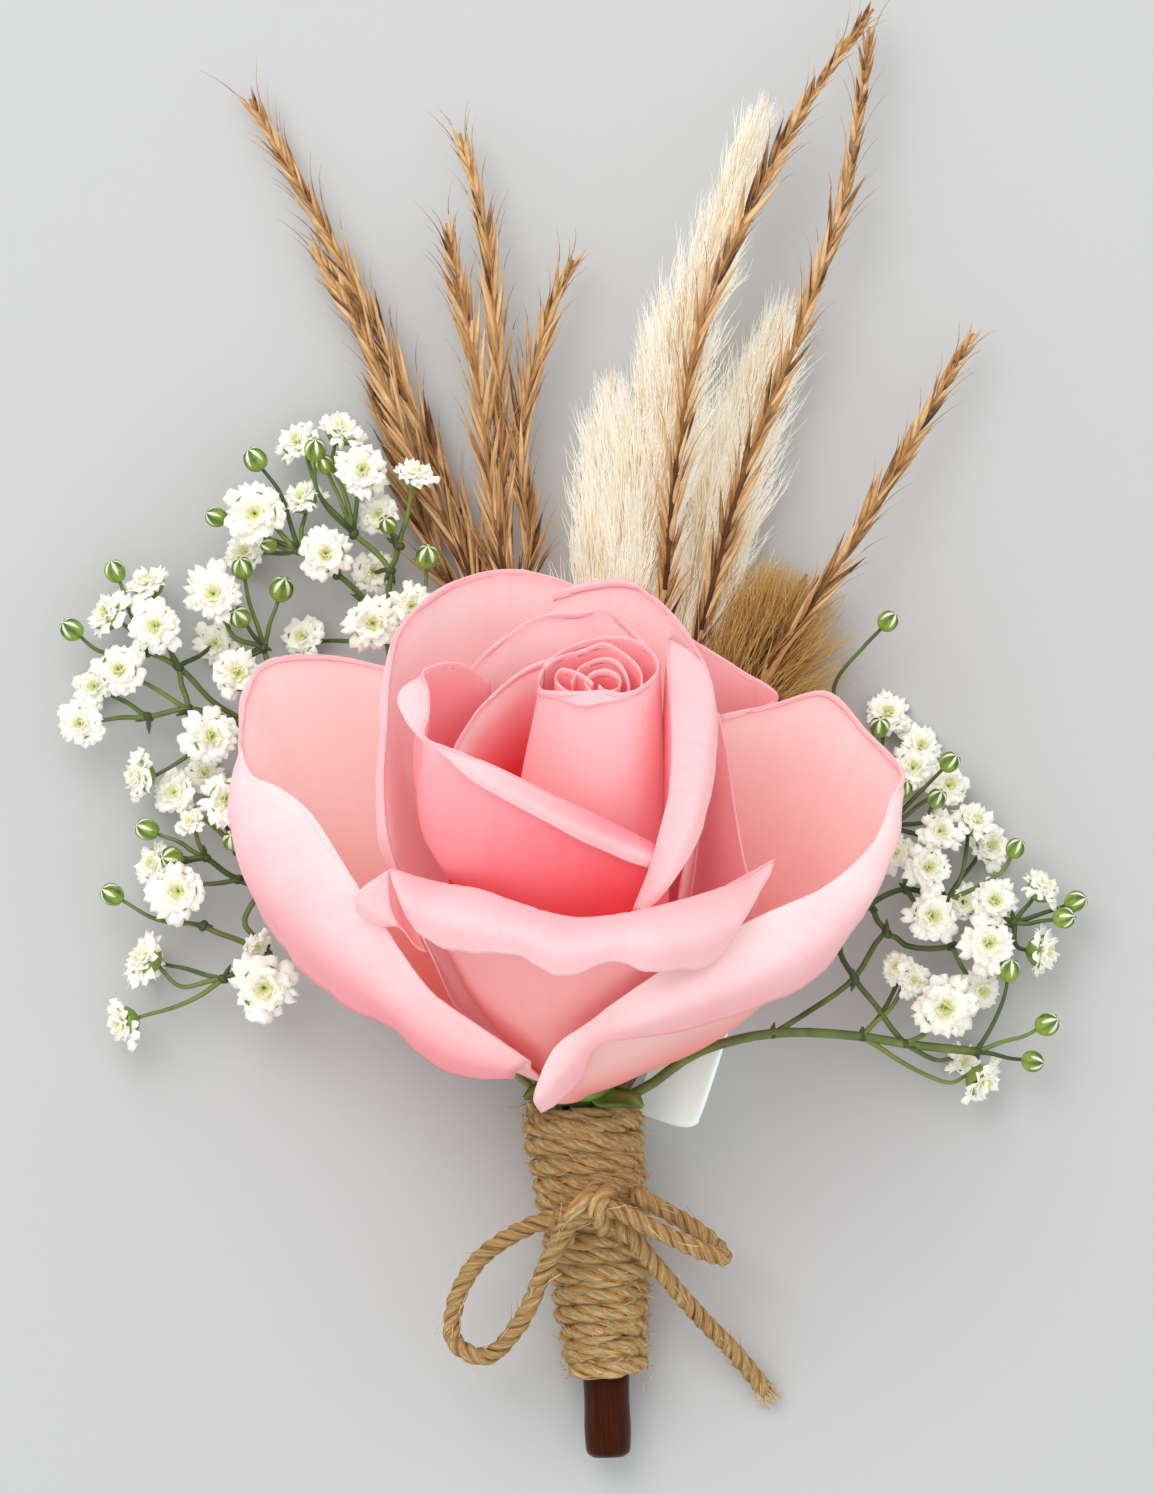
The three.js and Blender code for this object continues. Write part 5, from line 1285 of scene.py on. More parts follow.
OUTER_PETALS = (
    Petal("front_cup", belly=0.62, shoulder=0.84, low=0.5, mid=0.58, high=0.69, edge=0.71, warm=0.38,
          ruffle=0.25, seed=14,
          rim=((396, 866, 6.0), (430, 878, 10.5), (480, 887, 14.6), (525, 902, 16.6), (572, 914, 17.3),
               (615, 911, 17.2), (662, 902, 16.2), (722, 884, 12.5), (768, 858, 6.0)),
          lip=((402, 884, 6.8), (420, 926, 13.0), (472, 946, 17.6), (520, 949, 19.6), (561, 968, 20.8),
               (610, 956, 20.4), (660, 964, 19.4), (716, 950, 15.0), (771, 867, 6.6))),
    Petal("front_curl", belly=0.8, shoulder=0.92, foot=0.82, low=0.6, mid=0.68, high=0.7, edge=0.72,
          warm=0.25,
          ruffle=0.1, seed=19,
          rim=((402, 921, 8.6), (394, 905, 7.6), (391, 887, 6.6), (393, 868, 5.6)),
          lip=((398, 925, 8.2), (381, 921, 6.9), (361, 902, 5.4), (391, 867, 5.2))),
    # The guard petals carry painted shade on their feet, deep in the bowl by the front cup.
    Petal("guard_left", belly=0.66, shoulder=0.86, most=(40, 40), fade=(0.1, 0.22), foot_shade=0.7,
          low=0.8, mid=0.86, high=0.71, edge=0.59, warm=0.46,
          ruffle=0.25, seed=15,
          rim=((531, 1056, 9.6), (482, 1024, 9.8), (430, 985, 8.4), (385, 924, 5.4), (345, 865, 2.2),
               (312, 815, -1.2), (280, 788, -4.6), (256, 776, -7.2), (247, 745, -9.0), (252, 700, -11.5),
               (272, 667, -14.5), (330, 660, -17.0), (405, 675, -17.5)),
          lip=((515, 1074, 9.0), (450, 1066, 8.4), (396, 1027, 6.0), (345, 998, 2.4), (303, 965, -0.6),
               (272, 925, -3.2), (254, 865, -6.0), (245, 815, -8.2), (242, 750, -9.4), (243, 692, -12.2),
               (266, 661, -15.0), (329, 652, -17.6), (405, 667, -18.2))),
    Petal("guard_right", belly=0.7, shoulder=0.87, most=(40, 40), fade=(0.0, 0.05), foot_shade=0.6,
          low=0.74, mid=0.88, high=0.75, edge=0.64, warm=0.52,
          ruffle=0.25, seed=16,
          rim=((538, 1082, 11.6), (556, 1042, 13.6), (594, 1013, 15.2), (655, 970, 16.0), (742, 922, 11.4),
               (822, 884, 4.2), (868, 842, -1.5), (886, 800, -5.5), (895, 773, -8.5), (860, 735, -11.0),
               (822, 697, -12.5), (770, 708, -13.0), (716, 720, -12.8)),
          lip=((541, 1106, 10.8), (580, 1078, 13.2), (600, 1036, 16.0), (692, 1022, 14.6), (795, 982, 8.0),
               (853, 922, 1.2), (882, 862, -3.2), (893, 812, -6.5), (901, 770, -9.0), (863, 729, -11.6),
               (822, 689, -13.1), (769, 701, -13.5), (714, 714, -13.2))),
    Petal("guard_back", belly=0.9, shoulder=1.0, low=0.5, mid=0.72, high=0.74, edge=0.72, warm=0.05,
          ruffle=0.25, seed=17,
          most=(40, 40),
          rim=((650, 612, -16.0), (688, 643, -17.2), (735, 672, -17.0), (774, 699, -16.2), (745, 716, -16.0)),
          lip=((652, 607, -16.4), (692, 638, -17.7), (739, 667, -17.5), (780, 698, -16.4),
               (748, 719, -16.2))),
)


@dataclass
class Rose:
    """The bloom in three pieces, and the green hip, sepals and stem under it. The hip's profile is
    heights and radii; a sepal is its azimuth, its reach and its lift."""

    frame: RoseFrame
    handle: Handle
    thickness: float = 0.18
    sepal_thickness: float = 0.4
    stem_radius: float = 1.35
    hip: tuple = ((-1.8, 0.9), (-1.6, 1.5), (-1.0, 2.5), (-0.4, 3.05), (0.0, 3.3), (0.35, 3.25), (0.6, 2.8))
    sepals: tuple = ((38, 6.8, 0.1), (148, 6.4, 0.1), (200, 4.9, 0.3), (272, 4.6, 0.4), (330, 4.6, 0.3))

    def build(self, look: bpy.types.Material) -> None:
        """Makes the three bloom pieces; each lists its petals, and the points across and along."""
        for name, petals, across, along in (
            ("rose_bud", BUD_PETALS, 50, 44),
            ("rose_cups", CUP_PETALS, 62, 52),
            ("rose_outer_petals", OUTER_PETALS, 76, 58),
        ):
            log.info("%s: %s", name, ", ".join(p.name for p in petals))
            piece(joined(p.build(across, along) for p in petals), name, look, "rose_bloom",
                  thickness=self.thickness)

    def sepal(self, azimuth: float, reach: float, lift: float) -> Surface:
        """One pointed sepal: a net of three ribs that narrows to its tip."""
        side = np.array([-1, 0, 1])
        middle = side == 0
        # Each row: degrees to either side, radius and height there, and what the middle adds.
        rows = ((34, 2.7, -0.9, 0.2, 0.5), (28, 3.9, -0.7, 0.2, 0.6),
                (14, reach * 0.85, lift, reach * 0.01, 0.3), (1.5, reach + 0.5, lift - 0.2, 0.1, 0.1))
        net = [self.frame.point(azimuth + a * side, r + out * middle, h + up * middle)
               for a, r, h, out, up in rows]
        columns = 13
        rib = np.exp(-np.linspace(-2.6, 2.6, columns) ** 2)
        return sheet(loft(np.array(net), columns, 24), rib=rib, own=0.3)

    def build_hip(self, look: bpy.types.Material) -> None:
        """Makes the hip, its stem and sepals."""
        v = np.array([1180, 1150, 1120, 1101.0])
        stem = self.handle.centre(v)
        stem[:, 0] += 0.1
        gap = np.where(v < 1115, 0.6, 0.35)
        stem[:, 2] += self.handle.bore(v) - gap - self.stem_radius
        neck = self.frame.point(0, 0, -1.2)
        rod = tubes(evened(spline(np.vstack([stem, neck]), 30), 30), self.stem_radius, 16, own=0.2)
        hip = turned(self.hip, 28, self.frame.point).with_values(own=0.6)
        piece(joined([rod, hip]), "rose_hip", look, "rose_hip_and_stem")
        piece(joined(self.sepal(*s) for s in self.sepals), "rose_sepals", look, "rose_hip_and_stem",
              replaces=False, thickness=self.sepal_thickness)


# Baby's breath

@dataclass
class FloretShape:
    """One double floret, a unit wide: whorls of notched petals, steeper toward the middle.

    A whorl is its number of petals, their reach, their rise in degrees and their half width. A
    petal's point at share s along and t across (-1 to 1) stands reach s (1 - notch s^4) out and
    half s^0.6 (1 - 0.3 s^5) t to the side; the notch is deep at t = 0 and 1 and nothing between.
    """

    whorls: tuple = ((8, 0.54, 6, 0.20), (9, 0.49, 28, 0.18), (8, 0.41, 47, 0.17), (7, 0.30, 68, 0.14))
    steep_from: float = 30.0

    def build(self, rng: np.random.Generator) -> Surface:
        """Makes one floret, the stalk's end at the origin and its face along Z."""
        petals = []
        for count, reach, steep, half in self.whorls:
            first = rng.uniform(0, 2 * np.pi)
            for k in range(count):
                turn = first + 2 * np.pi * (k + rng.uniform(-0.34, 0.34)) / count
                petals.append(self.petal(turn, reach, steep, half, rng))
        return joined(petals)

    def petal(self, turn: float, reach: float, steep: float, half: float,
              rng: np.random.Generator) -> Surface:
        """One petal of a whorl, turned round the floret's middle."""
        s = np.array([0.05, 0.45, 0.78, 1.0])[:, None]
        t = np.linspace(-1, 1, 5)[None, :]
        rise = np.radians(steep + rng.uniform(-17, 17))
        long = reach * rng.uniform(0.72, 1.1)
        wide = half * rng.uniform(0.72, 1.2)
        notch = rng.uniform(0.04, 0.2)
        run = long * s * (1 - notch * np.abs(np.cos(np.pi * t)) * s ** 4)
        over = wide * s ** 0.6 * (1 - 0.3 * s ** 5) * t
        curl = 0.14 * np.sin(4 * t + rng.uniform(0, 6)) * s ** 3
        bow = 0.10 * s ** 2 * (1 if steep > self.steep_from else -0.6)
        height = run * np.sin(rise) * 0.62 + bow * long + curl * 0.35 - 0.05 * t ** 2 * s
        flat = run * np.cos(rise) + 0.012
        x = flat * np.cos(turn) - over * np.sin(turn)
        y = flat * np.sin(turn) + over * np.cos(turn)
        return sheet(stacked(x, y, height), out=np.hypot(x, y) * 1.9, own=rng.uniform(0, 1))


def calyx_shape() -> Surface:
    """Green cup of five pointed lobes: radius sin(s)^0.7, height s, lobes |cos 2.5 a| at the lip."""
    a = circle(20)
    s = np.array([0.0, 0.2, 0.5, 0.8, 1.0])[:, None]
    lobe = np.abs(np.cos(2.5 * a))
    foot = -0.34
    outer = round_z(a, 0.05 + 0.30 * np.sin(np.pi / 2 * s) ** 0.7 * (1 + 0.06 * lobe),
                    foot + 0.30 * s + 0.14 * s ** 3 * lobe ** 1.5)
    inner = outer[::-1][1:] * [0.82, 0.82, 1.0] + UP * 0.02
    hubs = np.array([[0, 0, foot], [0, 0, inner[-1, 0, 2]]])
    return capped(np.concatenate([outer, inner])[None], hubs[None], rib=(lobe, 0))


def bud_shape() -> Surface:
    """A bud of radius 1 along Z: a ball with five raised sepals, stripe = cos²(2.5 a)."""
    a = circle(20)
    h = np.linspace(-0.995, 0.995, 11)[:, None]
    long = 1.12
    stripe = np.cos(2.5 * a) ** 2
    r = np.sqrt(1 - h * h) * (1.0 - 0.07 * stripe * (0.4 + 0.6 * (h > -0.5)))
    hubs = np.array([[0, 0, -long], [0, 0, long]])
    return capped(round_z(a, r, h * long)[None], hubs[None], stripe=(stripe, (0, 1)), rise=(h, (-1, 1)))


def facing(azimuth: float, rise: float) -> Array:
    """Direction from an azimuth and a rise in degrees."""
    a, e = math.radians(azimuth), math.radians(rise)
    return np.array([math.cos(a) * math.cos(e), math.sin(a) * math.cos(e), math.sin(e)])


@dataclass
class Spray:
    """One group of baby's breath.

    A floret is (u, v, height, width, azimuth it faces, rise it faces, joint, ...way points) and
    rests on the table where its height is 0. A bud is (u, v, height, radius, joint, ...way points).
    """

    name: str
    hand: Hand
    slot: Slot
    trunk: tuple
    trunk_radius: float
    joints: dict
    stalks: tuple
    florets: tuple
    buds: tuple
    seed: int
    shapes: int = 5
    points: int = 24
    swelling: tuple = ((-0.75, 0.25), (-0.5, 0.5), (0, 0.62), (0.5, 0.5), (0.75, 0.25))

    def stops(self, *places: object) -> Array:
        """Points of a stalk from joints by their names and points as drawn."""
        return drawn([self.joints[p] if isinstance(p, str) else p for p in places])

    def line(self, stops: Array, thin: float, more: float) -> tuple:
        """A stalk's stops and its radii, which fall to the thin end's."""
        return stops, thin + more * np.linspace(1, 0, self.points)

    def flower(self, row: tuple, shape: Surface, roll: float) -> tuple:
        """One floret: its surface, its middle, the way it faces and its stalk."""
        u, v, z, wide, azimuth, rise, *places = row
        face = facing(azimuth, rise)
        centre = drawn((u, v, z))
        flower = copies(shape, [centre], frames([face], roll), [wide * 1.04])
        if z == 0:
            lift = UP * max(0.05 - flower.points[:, 2].min(), 0)
            flower.points = flower.points + lift
            centre = centre + lift
        end = centre - face * 0.30 * wide
        return flower, centre, face, self.line(np.vstack([self.stops(*places), end]), 0.19, 0.09)

    def bud(self, row: tuple) -> tuple:
        """One bud: its middle, the way it points and its stalk."""
        u, v, z, r, *places = row
        head = drawn((u, v, z))
        stops = self.stops(*places)
        aim = unit(unit(head - stops[-1]) + UP * 0.55)
        return head, aim, self.line(np.vstack([stops, head - aim * r * 0.9]), 0.18, 0.08)

    def build(self, handle: Handle, looks: dict) -> None:
        """Makes the florets, the green parts and the buds.

        Args:
            handle: the sleeve that the trunk comes out of.
            looks: materials by name: floret, stalk, calyx, bud.
        """
        rng = np.random.default_rng(self.seed)
        shapes = [FloretShape().build(rng) for _ in range(self.shapes)]
        flowers, centres, faces, stalks = zip(*(
            self.flower(row, shapes[i % len(shapes)], rng.uniform(0, 6)) for i, row in enumerate(self.florets)
        ))
        heads, aims, bud_stalks = zip(*(self.bud(row) for row in self.buds))
        main = handle.stem(self.hand, self.slot, self.trunk, 60)
        lines = [self.line(main, 0.85 * self.trunk_radius, 0.2 * self.trunk_radius)]
        lines += [self.line(self.stops(*run), 0.29, 0) for run in self.stalks]
        lines += [*stalks, *bud_stalks]
        piece(joined(flowers).flattened(0.08), self.name + "_florets", looks["floret"], self.name,
              thickness=0.09)
        green = joined([self.stalk_tubes(lines, rng), self.nodes_of(rng)])
        piece(green, self.name + "_stalks", looks["stalk"], self.name, replaces=False)
        centres, faces, heads, aims = (np.array(x) for x in (centres, faces, heads, aims))
        wide, radii = (np.array([row[3] for row in rows]) for rows in (self.florets, self.buds))
        cups = copies(calyx_shape(), centres, frames(faces), wide * 0.92, own=rng.uniform(0, 1, len(wide)))
        under = copies(calyx_shape(), heads - aims * radii[:, None] * 0.1, frames(aims), radii * 2.6, own=0.1)
        piece(joined([cups, under]).flattened(TABLE_GAP), self.name + "_calyces", looks["calyx"],
              self.name, replaces=False)
        balls = copies(bud_shape(), heads, frames(aims, rng.uniform(0, 6, len(radii))), radii)
        piece(balls, self.name + "_buds", looks["bud"], self.name, replaces=False)

    def stalk_tubes(self, lines: list, rng: np.random.Generator) -> Surface:
        """Stalks as tubes: each a smooth line with a slow wander of a tenth of a millimetre."""
        t = np.linspace(0, np.pi, self.points)[:, None]
        paths = [evened(spline(stops, 40), self.points)
                 + np.sin(t) * np.sin(2 * t + rng.uniform(0, 6, 3)) * 0.11 for stops, _ in lines]
        radii = np.array([r for _, r in lines])
        own = rng.uniform(0, 0.8, len(paths))
        return tubes(np.array(paths), radii, 9, (0.07, 0.05, 1.0), own=own).flattened(TABLE_GAP)

    def nodes_of(self, rng: np.random.Generator) -> Surface:
        """Swollen joints with two small pointed bracts each."""
        spots = self.stops(*self.joints)
        n = len(spots)
        axes = frames(rng.normal(size=(n, 3)) * [1, 1, 0.3])
        ball = turned(self.swelling, 12, lambda a, r, h: round_z(np.radians(a), r, h))
        swell = copies(ball, spots, axes, np.full(n, 0.78), own=0.0)
        aim = unit(rng.normal(size=(2 * n, 3)) * [1, 1, 0.35] + UP * 0.25)
        t = shares(7)
        root = np.repeat(spots, 2, axis=0)[:, None]
        path = root + aim[:, None] * t * rng.uniform(1.0, 1.8, (2 * n, 1, 1)) + UP * 0.25 * t * t
        bracts = tubes(path, 0.26 * np.sin(np.pi * (0.25 + 0.74 * t[..., 0])), 6, (0.2, 0.1, 0.97), own=0.0)
        return joined([swell, bracts.flattened(TABLE_GAP)])


LEFT_UPPER = Spray(
    name="babys_breath_left_upper", hand=Hand.LEFT, slot=Slot.WIDE, seed=21, trunk_radius=0.38,
    trunk=((500, 1000, 5.2), (440, 850, 4.8), (398, 700, 4.8), (388, 640, 5.2)),
    joints={
        "a0": (388, 640, 5.2), "a2": (391, 571, 6), "a3": (355, 535, 6.6), "a4": (400, 547, 7),
        "b0": (366, 602, 6.2), "b1": (338, 575, 7), "b2": (300, 552, 7.2),
    },
    stalks=(("a0", (388, 600, 5.6), "a2", "a3"), ("a2", "a4"), ("a0", "b0", "b1", "b2")),
    florets=(
        (257, 515, 8.5, 6.6, 200, 80, "b2"),
        (327, 555, 8.8, 5.6, 0, 85, "b1"),
        (303, 500, 6.4, 4.8, 110, 30, "b2"),
        (363, 472, 9, 5.6, 20, 75, "a3"),
        (416, 477, 9, 4.5, 80, 30, "a4"),
        (343, 432, 6.6, 5.2, 60, 25, "a3", (344, 490, 6.8), (334, 466, 6.8)),
        (299, 443, 4.6, 5, 130, 40, "a3", (322, 500, 5.6)),
        (380, 515, 5.4, 4.6, 180, 70, "a4"),
        (374, 624, 8.8, 5.8, 300, 80, "a0"),
        (412, 607, 7.8, 4.6, 0, 75, "a0"),
        (373, 572, 3.2, 4.6, 0, 70, "a2"),
        (304, 638, 0, 5, 150, 55, "a0"),
        (246, 553, 0, 4.6, 160, 60, "b2"),
    ),
    buds=(
        (257, 461, 7, 1.2, "b2", (283, 497, 7.2)),
        (218, 518, 6.5, 1.05, "b2"),
        (317, 452, 8, 1.15, "a3", (317, 487, 7.4)),
        (326, 466, 7.4, 0.95, "a3", (338, 495, 7)),
        (389, 526, 8.4, 0.95, "a4"),
        (428, 558, 8, 1.2, "a0", (425, 592, 7)),
        (270, 546, 7.4, 0.85, "b2"),
    ),
)
LEFT_MIDDLE = Spray(
    name="babys_breath_left_middle", hand=Hand.LEFT, slot=Slot.SIDE, seed=22, trunk_radius=0.38,
    trunk=((490, 1010, 4), (400, 880, 3.6), (300, 780, 3.6), (252, 724, 4.2)),
    joints={
        "d0": (252, 724, 4.2), "d1": (190, 710, 5), "d2": (180, 667, 5.6), "d3": (150, 652, 5.6),
        "d4": (150, 717, 5), "c1": (265, 648, 5.4),
    },
    stalks=(("d0", (215, 703, 4.8), "d2", "d3"), ("d0", "d1", "d4"), ("d1", "d2"),
            ("d0", (272, 688, 4.8), "c1")),
    florets=(
        (216, 595, 8, 6, 150, 80, "c1", (235, 635, 6)),
        (159, 627, 8.4, 5.5, 180, 75, "d2"),
        (150, 584, 5.6, 5.2, 120, 30, "d3", (158, 620, 5.4)),
        (110, 615, 6, 5.2, 150, 25, "d3"),
        (122, 670, 8, 5.4, 180, 80, "d1"),
        (96, 687, 0, 4.6, 160, 60, "d4"),
        (83, 723, 6.6, 4.8, 210, 75, "d4"),
        (239, 673, 7.6, 5.6, 330, 75, "c1"),
        (214, 736, 8.2, 5.7, 300, 80, "d0"),
        (142, 776, 6, 5.2, 180, 25, "d0", (196, 753, 5.4)),
        (217, 643, 0, 4.6, 200, 65, "d2"),
    ),
    buds=(
        (74, 630, 6, 1.15, "d3", (103, 653, 5.8)),
        (117, 572, 5, 1.1, "d3", (134, 615, 5)),
        (244, 569, 7, 1.1, "c1", (252, 605, 6)),
        (283, 590, 6.4, 1.25, "c1", (277, 608, 6)),
        (242, 618, 7.6, 1.1, "c1"),
    ),
)
LEFT_LOWER = Spray(
    name="babys_breath_left_lower", hand=Hand.LEFT, slot=Slot.TOP, seed=23, trunk_radius=0.38,
    trunk=((528, 1083, 8.1), (480, 1030, 7.2), (380, 960, 6), (300, 910, 5.4), (262, 890, 5.2)),
    joints={
        "e0": (262, 890, 5.2), "e1": (240, 879, 5.4), "e2": (207, 857, 6), "e3": (240, 852, 5.8),
        "f0": (268, 953, 5.4), "f1": (225, 978, 5.6), "f2": (205, 925, 5.8),
    },
    stalks=(("e0", "e1", "e2"), ("e0", "e3"), ("e0", (246, 922, 5.4), "f0", "f1"), ("f0", "f2")),
    florets=(
        (228, 799, 8, 5.2, 0, 80, "e3"),
        (176, 793, 4.4, 4.8, 150, 60, "e3", (215, 825, 5)),
        (205, 775, 0, 4.6, 60, 60, "e3", (222, 815, 4.4)),
        (192, 822, 7.4, 3.2, 120, 50, "e2"),
        (181, 890, 8, 6, 210, 75, "e1"),
        (156, 864, 4.6, 4.6, 160, 40, "e2"),
        (147, 957, 6, 5.6, 150, 25, "f1", (180, 984, 5.6)),
        (125, 1022, 5, 5.4, 200, 20, "f1", (198, 997, 5.4)),
        (266, 986, 8.6, 7, 300, 80, "f0"),
        (257, 944, 6.6, 3.2, 315, 40, "f0"),
        (150, 962, 0, 3.4, 180, 60, "f1"),
    ),
    buds=(
        (149, 829, 6, 1.15, "e2", (185, 845, 6)),
        (174, 857, 7.4, 1.15, "e2"),
        (235, 840, 7.2, 1.1, "e3"),
        (114, 894, 5.4, 1.15, "f2", (150, 915, 5.6)),
    ),
)
RIGHT_SPRAY = Spray(
    name="babys_breath_right", hand=Hand.RIGHT, slot=Slot.TOP, seed=24, trunk_radius=0.52,
    trunk=((646, 1084, 9.2), (678, 1060, 10.6), (705, 1046, 11.2), (770, 1032, 10.2),
           (860, 1035, 7.6), (903, 1042, 6.6), (975, 1050, 5.6)),
    joints={
        "r1": (770, 1032, 10.2), "r2": (860, 1035, 7.6), "r3": (903, 1042, 6.6), "r4": (975, 1050, 5.6),
        "q1": (853, 978, 8.4), "s1": (885, 932, 7.6), "t0": (868, 905, 6.4), "t1": (905, 888, 6),
        "v1": (945, 900, 5), "w1": (950, 945, 5.4), "w2": (1012, 922, 4.8), "u0": (888, 825, 5.6),
        "u1": (876, 770, 4.8),
    },
    stalks=(("r1", (800, 1014, 9.6), "q1", "s1", (905, 945, 7), "w1", "w2"),
            ("q1", (838, 945, 7.6), "t0", "t1", "v1"), ("r3", (885, 1020, 7.2), "q1"), ("t0", "s1"),
            ("t0", (868, 860, 5.8), "u0", "u1")),
    florets=(
        (942, 1005, 8.6, 6.8, 300, 75, "r3", (925, 1030, 6.8)),
        (929, 915, 8.8, 5.8, 0, 70, "t1"),
        (926, 867, 8, 4.8, 20, 75, "t1"),
        (938, 831, 6.6, 4.6, 30, 70, "u0", (915, 835, 5.8)),
        (896, 852, 5.4, 4, 180, 60, "t1"),
        (992, 900, 5.6, 5.2, 20, 70, "v1"),
        (962, 903, 4.6, 4.2, 90, 70, "v1"),
        (986, 942, 7.8, 5.6, 0, 75, "w1"),
        (1040, 888, 4.8, 4.6, 50, 25, "w2"),
        (1040, 951, 5, 5.2, 355, 15, "w2", (1016, 945, 5)),
        (896, 966, 7.4, 3.6, 150, 60, "r2", (885, 1005, 7.2)),
        (911, 978, 7.6, 3.8, 330, 60, "r2", (890, 1003, 7.2)),
        (980, 1080, 4.4, 5.2, 330, 20, "r2", (948, 1082, 4.8)),
        (962, 1059, 0, 3.6, 315, 50, "r3", (935, 1060, 4.6)),
        (980, 990, 3.2, 4.5, 340, 60, "w1"),
        (974, 822, 4.4, 4.8, 50, 40, "v1", (962, 872, 5)),
        (989, 846, 0, 4.6, 20, 60, "v1"),
        (947, 786, 3.8, 4.8, 45, 60, "u0"),
        (911, 768, 5.4, 4.8, 45, 65, "u0"),
        (920, 747, 0, 4.6, 60, 60, "u1"),
        (887, 714, 0, 5, 70, 60, "u1"),
    ),
    buds=(
        (878, 727, 7, 1.05, "u1"),
        (948, 762, 6.6, 1.05, "u0", (920, 790, 6)),
        (935, 798, 7.6, 1, "u0", (920, 822, 6.6)),
        (1014, 848, 5, 1, "v1", (1000, 872, 5)),
        (1074, 901, 4.6, 1.1, "w2", (1045, 912, 4.6)),
        (1062, 917, 5.8, 1.1, "w2", (1035, 922, 5.2)),
        (1007, 969, 7, 1.15, "r4", (990, 1025, 6), (1003, 990, 6.8)),
        (1045, 1023, 6, 1.2, "r4", (1020, 1035, 5.8)),
        (1031, 1060, 5, 1.1, "r4", (1000, 1055, 5.3)),
        (886, 622, 9.4, 1.05, "u1", (850, 738, 5.6), (832, 690, 8.6), (862, 648, 9.4)),
        (902, 788, 6.6, 0.95, "u0"),
    ),
)


# Grasses and plumes

class EarKind(Enum):
    """How a grass carries its husks: spacing, length, half width, spread and where they start."""

    TUFT = (0.68, 8.4, 0.36, 0.19, 4.0)
    SPIKE = (0.86, 6.8, 0.39, 0.20, 2.5)


def husk_shape() -> Surface:
    """A husk of unit length along Z: a slim boat, half width sin(pi s^0.75)^0.9, its tip drawn out."""
    s = np.linspace(0, 1, 7)[:, None]
    a = circle(6)
    wide = np.sin(np.pi * np.clip(s, 0.02, 1) ** 0.75) ** 0.9 * (1 - 0.35 * s) + 0.03
    keel = 1 + 0.25 * np.cos(a - np.pi / 2)
    y = wide * np.sin(a) * 0.55 * keel + 0.15 * s ** 2
    hubs = np.array([[0, 0, -0.01], [0, 0.15, 1.02]])
    return capped(stacked(wide * np.cos(a), y, s)[None], hubs[None], run=(s, (0, 1)),
                  across=(np.abs(np.cos(a)), 0))


@dataclass
class Grass:
    """A dry grass: a trunk from the bundle and branches closely set with long husks."""

    name: str
    hand: Hand
    slot: Slot
    trunk: tuple
    branches: tuple
    kind: EarKind
    seed: int

    def build(self, handle: Handle, look: bpy.types.Material) -> None:
        """Makes the stalks, the husks and their awns."""
        rng = np.random.default_rng(self.seed)
        main = evened(handle.stem(self.hand, self.slot, self.trunk, 40), 40)
        parts = [tubes(main, 0.40, 8, STALK_SIDE, own=0.45)]
        for stops in self.branches:
            line = evened(spline(drawn([*self.trunk[-2:], *stops]), 120), 70)
            parts.append(tubes(line, np.linspace(0.36, 0.16, 70), 7, STALK_SIDE, own=0.4))
            parts += self.husks(line, rng)
        piece(joined(parts).flattened(TABLE_GAP), self.name + "_husks", look, self.name)

    def husks(self, line: Array, rng: np.random.Generator) -> list:
        """Husks left and right in turn along a branch, and an awn from each tip."""
        every, long, half, spread, start = self.kind.value
        end = lengths(line)[-1]
        foot = np.arange(start, end - 1.5, every)
        foot = foot + rng.uniform(-0.3, 0.3, len(foot))
        n = len(foot)
        root = points_at(line, foot)
        along = unit(points_at(line, foot + 1.0) - root)
        along[-1] = along[-2]
        side = unit(np.cross(along, UP))
        hand = np.where(np.arange(n) % 2 == 0, 1.0, -1.0)
        lean = unit(along + side * (hand * (spread + rng.uniform(-0.09, 0.1, n)))[:, None]
                    + UP * rng.uniform(-0.12, 0.16, n)[:, None])
        size = long * rng.uniform(0.72, 1.12, n)
        size *= 1 - 0.25 * foot / end - 0.3 * smooth(0.6, 0.95, foot / end)
        wide = half * 0.95 * rng.uniform(0.75, 1.15, n)
        husk = copies(husk_shape(), root, frames(lean, rng.uniform(-0.9, 0.9, n)),
                      np.stack([wide, wide, size], axis=1), own=rng.uniform(0, 1, n))
        pick = rng.uniform(0, 1, n) < 0.7
        tip = root[pick] + lean[pick] * size[pick][:, None] * 0.93
        t = shares(7)
        drift = (side * hand[:, None])[pick][:, None] * 0.22 + UP * 0.05
        reach = rng.uniform(1.2, 4.2, (pick.sum(), 1, 1))
        awn = tip[:, None] + lean[pick][:, None] * reach * t + drift * reach * t * t
        return [husk, tubes(awn, 0.07 * (1 - 0.75 * t[..., 0]), 3, STALK_SIDE,
                            own=rng.uniform(0.5, 1.0, pick.sum()))]


